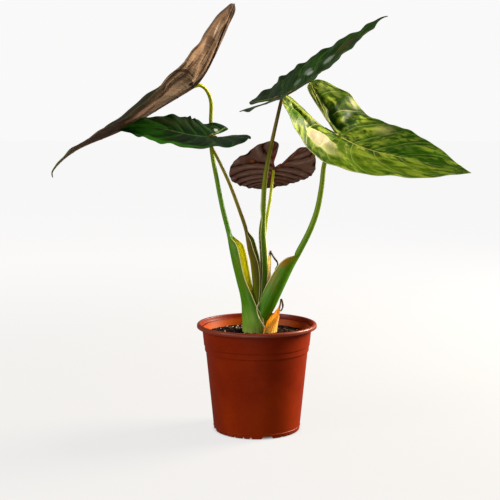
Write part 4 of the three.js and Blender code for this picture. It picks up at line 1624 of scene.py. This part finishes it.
@dataclass
class Strand:
    """A thin strand: a dried sheath's withered tip, or a loosened edge.

    Tip is the colour of its end. The knob at its start thickens it by that share over knob_share of its
    length, and knots thicken it unevenly.
    """

    name: str
    route: tuple[Point, ...]
    dark: str
    light: str
    tip: str
    slot: str
    radius: float = 1.5
    tip_radius: float = 0.7
    knob: float = 0.0
    knob_share: float = 0.05
    knots: float = 0.25
    rows: int = 60
    sides: int = 10

    def build(self) -> Piece:
        """Makes the strand.

        Returns:
            The finished mesh.
        """
        piece, row, column = new_grid(self.rows, self.sides)
        centre, along = follow(self.route, row * (len(self.route) - 1), nudge=0.05)
        away = unit(np.cross(along, [0.0, 1.0, 0.0]))
        turn = 2 * np.pi * column[:, None]
        uneven = 1 + self.knots * np.sin(row * 37) * np.sin(row * 23 + 1)
        uneven += self.knob * np.exp(-((row / self.knob_share) ** 2))
        girth = uneven * (self.radius + (self.tip_radius - self.radius) * row**2)
        ring = away * np.cos(turn) + np.cross(along, away) * np.sin(turn)
        lay(piece, MM * (centre + ring * girth[:, None]))
        note(piece, row=row)
        return closed(piece, self.name, 60)

    def dress(self, piece: Piece) -> None:
        """Gives the strand its skin and its place in the frame.

        Args:
            piece: The strand.
        """
        paint = Paint(f"{self.name}_skin")
        tone = paint.blend(paint.grain(900, detail=4), self.dark, self.light)
        tone = paint.blend(paint.attribute("row").rise(0.85, 1.0) * 0.7, tone, self.tip)
        material = paint.finish(tone, 0.65, Normal=paint.bump(paint.grain(1400, detail=3), 0.2))
        ready(piece, material, self.slot)


STRANDS: tuple[Strand, ...] = (
    Strand(
        "dried_thread", slot="dried_cream", dark="180a05", light="4a2410", tip="a87838", knob=1.0,
        route=((18.3, -3, 254), (21, -3, 251), (24, -3, 246), (28.5, -3, 240), (29, -3, 235),
               (25.5, -3, 229)),
    ),
    Strand(
        "loose_edge", slot="green_petiole", dark="d8cc98", light="f4ecc4", tip="fffdf0",
        radius=0.35, tip_radius=0.8,
        route=((3, -13, 184), (0, -15, 177), (1, -16, 169), (4, -15.8, 161), (8, -15, 154.5),
               (11, -14, 149)),
    ),
    Strand(
        "dried_curl", slot="dried_yellow", dark="180a05", light="4a2410", tip="2a1208", tip_radius=0.8,
        route=((34, -3, 187), (35.6, -4, 184), (36.6, -5, 179), (36, -5.5, 174), (33.2, -6, 170)),
    ),
)
DRIED_SKINS: tuple[DriedSkin, ...] = (
    DriedSkin(
        "dried_skin_tall", node="dried_sheath_tall", slot="dried_cream",
        route=((17, -1, 176), (17, -2, 195), (17.4, -3, 213), (17.8, -3, 235), (18.6, -2.5, 256)),
        skin=((176, 8, 66), (213, 7, 68), (240, 4.6, 62), (256, 1.6, 30)),
        tones=((176, "ecc860"), (215, "fff0b8"), (245, "f8de90"), (256, "7a4a1c")),
        foot=177, ribs=4, rib_depth=0.25, opening=225, crease="e0b868", glow="fff2b4",
    ),
    DriedSkin(
        "dried_skin_base", node="dried_sheath_base", slot="dried_yellow",
        route=((27.8, 0, 124), (28.6, 0, 150), (30.5, -1, 162), (32.5, -2, 174), (34.5, -2, 187)),
        skin=((124, 18, 118), (142, 18, 97), (158, 16, 62), (174, 13, 28), (187, 10, 5)),
        tones=((131, "ffe080"), (150, "ffc83c"), (172, "ffae14"), (187, "8a4a10")),
        ribs=13, rib_depth=0.45, thickness=1.0, crease="6a3004",
    ),
)


# ---------------- pot


def spun(name: str, profile: Sequence[Flat], sides: int) -> Piece:
    """Turns a closed outline about the upright axis.

    Args:
        name: The piece's name.
        profile: Radius and height of each point, with neighbours joined and the last joined to the
            first.
        sides: How many flats the round has.

    Returns:
        The closed shape.
    """
    piece = add(bpy.ops.mesh.primitive_circle_add, vertices=len(profile), radius=1)
    piece.name = piece.data.name = name
    lay(piece, MM * np.array([(radius, 0.0, height) for radius, height in profile]))
    with editing(piece):
        bpy.ops.mesh.spin(steps=sides, angle=2 * math.pi, center=(0, 0, 0), axis=(0, 0, 1))
    merge(piece)
    with editing(piece):
        bpy.ops.mesh.delete_loose()
    face_outwards(piece)
    return piece


def arc(centre: Flat, radius: float, start: float, end: float, steps: int) -> list[Flat]:
    """Points on an arc of a profile, whose ends are in degrees from outwards towards up."""
    turns = [math.radians(start + (end - start) * i / steps) for i in range(steps + 1)]
    return [(centre[0] + radius * math.cos(t), centre[1] + radius * math.sin(t)) for t in turns]


@dataclass
class NurseryPot:
    """The thin moulded pot, with its rolled lip, stepped band, mould line and foot openings.

    The band's section gives how far each of its points stands out from the step and over band_z. The
    mould line's two numbers are its height and how far it stands out. Above lit_inside_z and within
    lit_inside_radius the inside is painted brighter, as painted light on the inner wall. Each quarter of
    the foot has a wide notch and several small ones, by width and height. They start at a direction in
    degrees, and slant.
    """

    height: float = 152.5
    wall: float = 2.0
    foot_radius: float = 61.2
    band_z: float = 113.0
    band_radius: float = 72.4
    band_step: float = 1.4
    band_section: tuple[Flat, ...] = (
        (-0.4, 0.6), (-0.05, 1.2), (0.05, 2.2), (0.4, 7.6), (0.5, 8.4), (1.1, 9.0), (1.35, 9.7),
        (1.45, 10.7),
    )
    neck_radius: float = 77.4
    lip_radius: float = 85.0
    lip_height: float = 6.0
    lip_inner: float = 80.0
    ledge_z: float = 146.5
    disc_radius: float = 45.0
    floor_raise: float = 3.0
    foot_width: float = 4.0
    mould_line: Flat = (6.0, 0.5)
    lit_inside_z: float = 136.0
    lit_inside_radius: float = 75.0
    drain_radius: float = 4.5
    drains: int = 8
    wide_notch: Flat = (17.0, 4.0)
    small_notch: Flat = (3.4, 3.3)
    notch_slant: float = 0.3
    notch_start: float = -76.3
    notch_offsets: tuple[float, ...] = (22, 32, 45, 58, 68)
    sides: int = 160

    def outer_radius(self, z: float) -> float:
        """Radius of the wall's outside at a height under the band."""
        return self.foot_radius + (self.band_radius - self.foot_radius) * z / self.band_z

    def profile(self) -> list[Flat]:
        """The whole section of the pot.

        Returns:
            Points from the axis out, up the outside, down the inside and back to the axis.
        """
        foot_in = self.foot_radius - self.foot_width
        line_z, line_depth = self.mould_line
        line_radius = self.outer_radius(line_z)
        under_lip = self.height - self.lip_height
        band_top = self.band_radius + self.band_step
        outside = [
            (0, 0), (self.disc_radius, 0), (self.disc_radius + 1, self.floor_raise),
            (foot_in - 1, self.floor_raise), (foot_in, 0), (self.foot_radius - 1.6, 0),
            *arc((self.foot_radius - 1.8, 1.8), 1.8, -80, 0, 4),
            (self.outer_radius(4), 4.2), (line_radius, line_z - 0.7), (line_radius + line_depth, line_z),
            (line_radius, line_z + 0.7),
            *[(self.outer_radius(z), z) for z in (8, 40, 75, self.band_z - 2)],
            (self.band_radius, self.band_z - 0.8), (self.band_radius + 0.1, self.band_z - 0.1),
            *[(band_top + out, self.band_z + up) for out, up in self.band_section],
            (self.neck_radius - 0.7, under_lip - 9), (self.neck_radius, under_lip - 2.2),
            *arc((self.neck_radius + 1.2, under_lip - 1.4), 1.2, 180, 90, 3),
        ]
        lip = [
            *arc((self.lip_radius - 1.6, under_lip + 1.6), 1.6, -90, -10, 4),
            (self.lip_radius, self.height - 3.4),
            *arc((self.lip_radius - 2.4, self.height - 2.4), 2.4, 0, 90, 6),
            *arc((self.lip_inner + 1.3, self.height - 1.3), 1.3, 90, 180, 4),
        ]
        neck_in, band_in = self.neck_radius - self.wall, self.band_radius - self.wall
        inside = [
            (self.lip_inner - 0.6, self.ledge_z + 0.8), (self.lip_inner - 1.2, self.ledge_z),
            (neck_in + 0.3, self.ledge_z - 0.2), (neck_in, self.ledge_z - 0.8),
            (band_in + self.band_step, self.band_z + 1), (band_in, self.band_z - 1),
            (self.foot_radius - self.wall, self.floor_raise + self.wall + 1),
            (self.disc_radius - 1, self.floor_raise + self.wall), (self.disc_radius - 2, self.wall),
            (0, self.wall),
        ]
        return outside + lip + inside

    def cutter(self, degrees: float, radius: float, size: Point) -> Piece:
        """A block that cuts an opening.

        Args:
            degrees: Its direction from the axis.
            radius: How far out it stands.
            size: Its width outwards, its width sideways and its height.

        Returns:
            The block.
        """
        block = add(bpy.ops.mesh.primitive_cube_add, size=1)
        corners = read_points(block)
        corners[:, 1] *= 1 - 2 * self.notch_slant * corners[:, 2]
        lay(block, corners)
        turn = Matrix.Rotation(math.radians(degrees), 4, "Z")
        place = Matrix.Translation((radius * MM, 0, 0)) @ Matrix.Diagonal((*[s * MM for s in size], 1))
        block.data.transform(turn @ place)
        return block

    def cutters(self) -> Piece:
        """All the blocks and rounds that open the foot and the floor.

        Returns:
            One object that holds them.
        """
        tools: list[Piece] = []
        middle, deep = self.foot_radius - 0.1 * self.foot_width, 2.4 * self.foot_width
        for quarter in range(4):
            start = self.notch_start + 90 * quarter
            for offset in (0.0, *self.notch_offsets):
                wide, tall = self.small_notch if offset else self.wide_notch
                tools.append(self.cutter(start + offset, middle, (deep, wide, 2 * tall)))
        ring = (self.disc_radius + self.foot_radius - self.foot_width) / 2 * MM
        for i in range(self.drains):
            turn = 2 * math.pi * i / self.drains
            hole = add(bpy.ops.mesh.primitive_cylinder_add, vertices=32, radius=self.drain_radius * MM,
                       depth=20 * MM)
            place = Matrix.Translation((ring * math.cos(turn), ring * math.sin(turn), 4 * MM))
            hole.data.transform(place)
            tools.append(hole)
        return joined(tools, "openings")

    def build(self) -> Piece:
        """Makes the pot.

        Returns:
            The finished mesh.
        """
        piece = spun("nursery_pot", self.profile(), self.sides)
        tools = self.cutters()
        modified(piece, "BOOLEAN", operation="DIFFERENCE", object=tools, solver="EXACT")
        bpy.data.objects.remove(tools)
        shade(piece, 32)
        return piece

    def dress(self, piece: Piece) -> None:
        """Gives the pot its plastic: soft sheen, faint scuffs, a dusty lip and painted light on the inside.

        Args:
            piece: The pot.
        """
        paint = Paint("brown_plastic")
        height, radius = paint.axis("Z"), paint.radius()
        cloud = paint.grain(9, detail=4, rough=0.6)
        tone = paint.blend(cloud.rise(0.35, 0.7), "6a1800", "802500")
        fine = paint.grain(420, detail=3)
        tone = paint.blend(fine.rise(0.5, 0.8) * 0.12, tone, "9a4400")
        low = (self.height - self.lip_height - 1) * MM
        rim = self.lip_inner * MM
        lip = height.rise(low, low + 2 * MM) * radius.rise(rim - 0.5 * MM, rim + 0.5 * MM)
        # Painted light: the inner wall above the soil is painted a brighter orange where light falls on it.
        inside = height.rise(self.lit_inside_z * MM, (self.lit_inside_z + 1) * MM)
        inside = inside * radius.fall(self.lit_inside_radius * MM, (self.lit_inside_radius + 1) * MM)
        tone = paint.blend(inside * 0.7, tone, "a44804")
        tone = paint.blend(lip * 0.3, tone, "6e3c28")
        rub = paint.grain(1.0, paint.stretched(40, 900), detail=3)
        tone = paint.blend(rub.rise(0.62, 0.8) * 0.1, tone, "a05000")
        rough = 0.34 + cloud * 0.1 + fine * 0.08 + lip * 0.1
        relief = paint.grain(700, detail=2) * 0.5 + rub * 0.5
        material = paint.finish(tone, rough, Normal=paint.bump(relief, 0.05), Specular_IOR_Level=0.07,
                                Coat_Weight=lip * 0.35, Coat_Roughness=0.3)
        ready(piece, material, "pot_plastic", "pot")


# ---------------- soil


@dataclass
class PottingSoil:
    """The potting mix: a rough dark mound that fills the pot.

    Crumb layers are how many lumps they have to a millimetre, their level in the noise and their
    height. Sunk is how far they lie lower than the mound on the whole. Top_share is the share of the
    mesh's rows that lie on top. The crown, where the plant stands, is given by its middle, half its
    length and half its width.
    """

    pot: NurseryPot
    top: float = 137.0
    mound: float = 4.0
    mound_radius: float = 26.0
    slope_radius: float = 46.0
    edge_radius: float = 74.0
    clearance: float = 0.4
    rings: int = 90
    sides: int = 220
    top_share: float = 0.86
    crumb_layers: tuple[Point, ...] = ((0.11, 3.7, 1.1), (0.32, 9.1, 0.9), (0.9, 1.3, 0.5))
    sunk: float = 0.6
    crown: Point = (2.0, 30.0, 20.0)

    def level(self, radius: np.ndarray) -> np.ndarray:
        """The mound's height at a distance from the middle."""
        heights = self.top + self.mound * np.array([1, 1, 0.5, 0])
        return np.interp(radius, (0, self.mound_radius, self.slope_radius, self.edge_radius), heights)

    def crumbs(self, x: float, y: float) -> float:
        """How far the crumbly surface stands off the mound at a point, in millimetres."""
        return sum(h * noise.noise(Vector((x * f, y * f, z))) for f, z, h in self.crumb_layers) - self.sunk

    def is_taken(self, x: float, y: float) -> bool:
        """Whether the crown of the plant stands at a point."""
        middle, long, wide = self.crown
        return ((x - middle) / long) ** 2 + (y / wide) ** 2 < 1

    def wall(self) -> list[Flat]:
        """The soil's section from the edge of its top down the pot's wall and in along its floor.

        Returns:
            Radius and height of each point.
        """
        pot, gap = self.pot, self.clearance
        band_in = pot.band_radius - pot.wall - gap
        floor = pot.floor_raise + pot.wall
        return [
            (self.edge_radius, self.top - 1.2), (band_in + pot.band_step, pot.band_z + 1),
            (band_in, pot.band_z - 1), (pot.foot_radius - pot.wall - gap, floor + 1 + gap),
            (pot.disc_radius - 1 - gap, floor + gap), (0, floor),
        ]

    def build(self) -> Piece:
        """Makes the body of soil.

        Returns:
            The finished mesh.
        """
        piece, across, around = new_grid(self.rings, self.sides)
        wall = np.array(self.wall())
        lower = across >= self.top_share
        down = np.clip((across - self.top_share) / (1 - self.top_share), 0, 1)
        out, z = (np.interp(down, np.linspace(0, 1, len(wall)), wall[:, i]) for i in (0, 1))
        radius = np.where(lower, out, self.edge_radius * across / self.top_share)
        turn = 2 * np.pi * around
        height = np.where(lower, z, self.level(radius))
        points = np.stack([radius * np.cos(turn), radius * np.sin(turn), height], axis=-1)
        for i in np.flatnonzero(~lower):
            points[i, 2] += self.crumbs(points[i, 0], points[i, 1])
        lay(piece, MM * points)
        return closed(piece, "potting_mix", 80)

    def dress(self, piece: Piece) -> None:
        """Gives the soil its crumbs and its place in the frame.

        Args:
            piece: The body of soil.
        """
        paint = Paint("peat_mix")
        crumbs = paint.grain(330, detail=6, rough=0.7)
        clods = paint.grain(90, detail=5, rough=0.65)
        stops = ((0.35, "040100"), (0.52, "100602"), (0.64, "1e0e04"), (0.78, "3c2008"))
        tone = paint.ramp(crumbs * 0.6 + clods * 0.4, stops)
        tone = paint.blend(paint.grain(800, detail=2).rise(0.7, 0.78) * 0.3, tone, "7a5428")
        material = paint.finish(tone, 0.95, Specular_IOR_Level=0.05,
                                Normal=paint.bump(crumbs * 0.7 + clods * 0.3, 1.2))
        ready(piece, material, "potting_soil", "soil")


@dataclass
class Litter:
    """Fragments strewn over the soil.

    Sizes are least and greatest length, width and thickness. A few uneven models are copied. None
    lies nearer to the soil's edge than rim_gap.
    """

    name: str
    soil: PottingSoil
    count: int
    sizes: tuple[Flat, Flat, Flat]
    seed: int = 7
    models: int = 4
    rim_gap: float = 4.0
    uneven: float = 0.35

    def chip(self) -> Piece:
        """The plain form of a fragment, about a millimetre across."""
        raise NotImplementedError

    def material(self) -> bpy.types.Material:
        """Mixes the fragments' material."""
        raise NotImplementedError

    def build(self) -> Piece:
        """Makes a few uneven fragments and strews copies of them over the soil.

        Returns:
            The joined fragments.
        """
        rng = np.random.default_rng(self.seed + self.count)
        models = [self.chip() for _ in range(self.models)]
        for model in models:
            points = read_points(model)
            lay(model, points * (1 + self.uneven * (rng.random(points.shape) - 0.5)))
        strewn = []
        for i in range(self.count):
            radius = (self.soil.edge_radius - self.rim_gap) * math.sqrt(rng.random())
            turn = 2 * math.pi * rng.random()
            x, y = radius * math.cos(turn), radius * math.sin(turn)
            size = [low + (high - low) * rng.random() ** 1.6 for low, high in self.sizes]
            z = float(self.soil.level(np.array(radius))) + self.soil.crumbs(x, y) + 0.25 * size[2]
            turns = [*rng.uniform(-0.5, 0.5, 2), 2 * math.pi * rng.random()]
            if self.soil.is_taken(x, y):
                continue
            turned = Matrix.Identity(4)
            for angle, axis in zip(turns, "XYZ"):
                turned = turned @ Matrix.Rotation(angle, 4, axis)
            copy = models[i % len(models)].copy()
            copy.data = copy.data.copy()
            bpy.context.scene.collection.objects.link(copy)
            place = Matrix.Translation((x * MM, y * MM, z * MM))
            copy.data.transform(place @ turned @ Matrix.Diagonal((*size, 1)))
            note(copy, shade=np.full(len(copy.data.vertices), rng.random()))
            strewn.append(copy)
        for model in models:
            bpy.data.objects.remove(model)
        piece = joined(strewn, self.name)
        shade(piece, 40)
        return piece

    def dress(self, piece: Piece) -> None:
        """Gives the fragments their material and their place in the frame."""
        ready(piece, self.material(), "potting_soil")


@dataclass
class BarkBits(Litter):
    """Splinters of bark."""

    edge: float = 0.22

    def chip(self) -> Piece:
        """A block with its edges broken.

        Returns:
            The block.
        """
        piece = add(bpy.ops.mesh.primitive_cube_add, size=MM)
        with editing(piece):
            bpy.ops.mesh.bevel(offset=self.edge * MM, segments=1)
        return piece

    def material(self) -> bpy.types.Material:
        """Mixes dark bark, each bit in its own shade.

        Returns:
            The material.
        """
        paint = Paint("bark_bits")
        stops = ((0.0, "0a0502"), (0.5, "241206"), (0.85, "4a2a10"), (1.0, "8a6030"))
        tone = paint.ramp(paint.attribute("shade"), stops)
        tone = paint.blend(paint.grain(700, detail=4).rise(0.4, 0.7) * 0.5, tone, "140a05")
        return paint.finish(tone, 0.85, Specular_IOR_Level=0.2,
                            Normal=paint.bump(paint.grain(900, detail=3), 0.4))


@dataclass
class WhiteGrains(Litter):
    """Rounded grains of perlite."""

    radius: float = 0.6

    def chip(self) -> Piece:
        """A round grain."""
        return add(bpy.ops.mesh.primitive_ico_sphere_add, subdivisions=2, radius=self.radius * MM)

    def material(self) -> bpy.types.Material:
        """Mixes pitted white, stained brown on some of the grains.

        Returns:
            The material.
        """
        paint = Paint("perlite")
        pits = paint.grain(1500, detail=3)
        tone = paint.blend(pits.rise(0.4, 0.7), "a89c88", "e8e2d4")
        tone = paint.blend(paint.attribute("shade").rise(0.5, 0.9) * 0.6, tone, "8a6a48")
        return paint.finish(tone, 0.8, Normal=paint.bump(pits, 0.4))


class Rhizome:
    """The buried stem. It stays as the frame has it."""

    def build(self) -> Piece:
        """Finds the stem in the frame."""
        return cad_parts["rhizome"]

    def dress(self, piece: Piece) -> None:
        """Gives the stem its ringed bark.

        Args:
            piece: The stem.
        """
        paint = Paint("rhizome_bark")
        rings = paint.grain(1.0, paint.stretched(60, 700), detail=4)
        tone = paint.ramp(rings, ((0.3, "2e1f12"), (0.5, "5b4630"), (0.7, "8a7048")))
        piece.data.materials.clear()
        piece.data.materials.append(paint.finish(tone, 0.9, Normal=paint.bump(rings, 1.0)))


# ---------------- studio


@dataclass
class Lamp:
    """A soft rectangular light."""

    name: str
    at: Point
    aim: Point
    size: Flat
    power: float
    tint: tuple[float, float, float]

    def build(self) -> None:
        """Hangs the light where it belongs."""
        data = bpy.data.lights.new(self.name, "AREA")
        data.shape = "RECTANGLE"
        data.size, data.size_y = self.size
        data.energy = self.power
        data.color = self.tint
        lamp = bpy.data.objects.new(self.name, data)
        bpy.context.scene.collection.objects.link(lamp)
        lamp.visible_camera = False
        lamp.location = self.at
        lamp.rotation_euler = (Vector(self.aim) - Vector(self.at)).to_track_quat("-Z", "Y").to_euler()


@dataclass
class Studio:
    """The camera, the lights and the pale floor.

    Places are in metres. By distance from the axis, the floor turns from a painted shadow under the pot
    to pale over pot_shadow_run and to the backdrop's tone over far_run.
    """

    camera_at: Point = (-0.0097, -1.500, 0.430)
    camera_dip: float = 6.6
    lens: float = 77.18
    sensor: float = 36.0
    clip: Flat = (0.05, 100.0)
    floor_size: float = 60.0
    far_run: Flat = (0.1, 2.2)
    pot_shadow_run: Flat = (0.05, 0.066)
    backdrop: str = "faf9f9"
    sky: float = 0.19
    lamps: tuple[Lamp, ...] = (
        Lamp("key", (1.5, 0.6, 1.0), (0.0, 0.0, 0.32), (0.85, 0.85), 136, (1.0, 0.88, 0.70)),
        Lamp("fill", (-1.5, -0.9, 0.8), (0.0, 0.0, 0.3), (0.9, 0.9), 26, (1.0, 0.99, 0.97)),
        Lamp("bounce", (-0.2, -1.3, 0.05), (0.0, 0.0, 0.45), (1.0, 0.5), 8, (1.0, 0.97, 0.93)),
    )

    def build(self) -> None:
        """Sets up everything round the plant."""
        scene = bpy.context.scene
        scene.view_settings.view_transform = "Standard"
        data = bpy.data.cameras.new("camera")
        data.lens, data.sensor_width = self.lens, self.sensor
        data.clip_start, data.clip_end = self.clip
        camera = bpy.data.objects.new("camera", data)
        scene.collection.objects.link(camera)
        camera.location = self.camera_at
        camera.rotation_euler = (math.radians(90 - self.camera_dip), 0, 0)
        scene.camera = camera
        for lamp in self.lamps:
            lamp.build()
        self.build_floor()
        self.build_sky()

    def build_floor(self) -> None:
        """Lays the pale floor, with a painted shadow where the pot stands on it."""
        floor = add(bpy.ops.mesh.primitive_plane_add, size=self.floor_size)
        floor.name = "floor"
        floor.visible_diffuse = floor.visible_glossy = False
        paint = Paint("pale_floor")
        tone = paint.blend(paint.grain(2, detail=3), "424140", "464544")
        away = paint.radius()
        level = paint.blend(away.rise(*self.far_run), "e8e7e6", self.backdrop)
        # Painted shadow: the floor darkens to near black under the pot.
        level = paint.blend(away.fall(*self.pot_shadow_run) * 0.9, level, "0a0908")
        floor.data.materials.append(paint.finish(
            tone, 0.8, Specular_IOR_Level=0.0, Emission_Color=level, Emission_Strength=0.97))

    def build_sky(self) -> None:
        """Lights the room evenly from all round, with a brighter backdrop behind everything."""
        paint = Paint("room", world=True)
        tint = colour(self.backdrop)
        light = paint.node("ShaderNodeBackground", sockets={"Color": tint, "Strength": self.sky})
        seen = paint.node("ShaderNodeBackground", sockets={"Color": tint})
        straight = paint.node("ShaderNodeLightPath").outputs["Is Camera Ray"]
        mixed = paint.mixed(straight, light.outputs[0], seen.outputs[0])
        paint.node("ShaderNodeOutputWorld", sockets={"Surface": mixed})
        bpy.context.scene.world = paint.owner


# ---------------- making it all


def main() -> None:
    """Builds every piece in order and reports it."""
    logging.basicConfig(level=logging.INFO, format="%(name)s %(message)s")
    Studio().build()
    pot = NurseryPot()
    soil = PottingSoil(pot)
    bark = BarkBits("bark_bits", soil, 300, ((1.5, 7), (1, 3.5), (0.6, 1.6)))
    grains = WhiteGrains("white_grains", soil, 70, ((0.8, 3.2), (0.8, 3), (0.7, 2.4)))
    for part in (pot, soil, bark, grains, Rhizome(), *LEAVES, *STALKS, *DRIED_SKINS, *STRANDS):
        piece = part.build()
        part.dress(piece)
        log.info("%s: %d faces", piece.name, len(piece.data.polygons))
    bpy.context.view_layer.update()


if __name__ == "__main__":
    main()
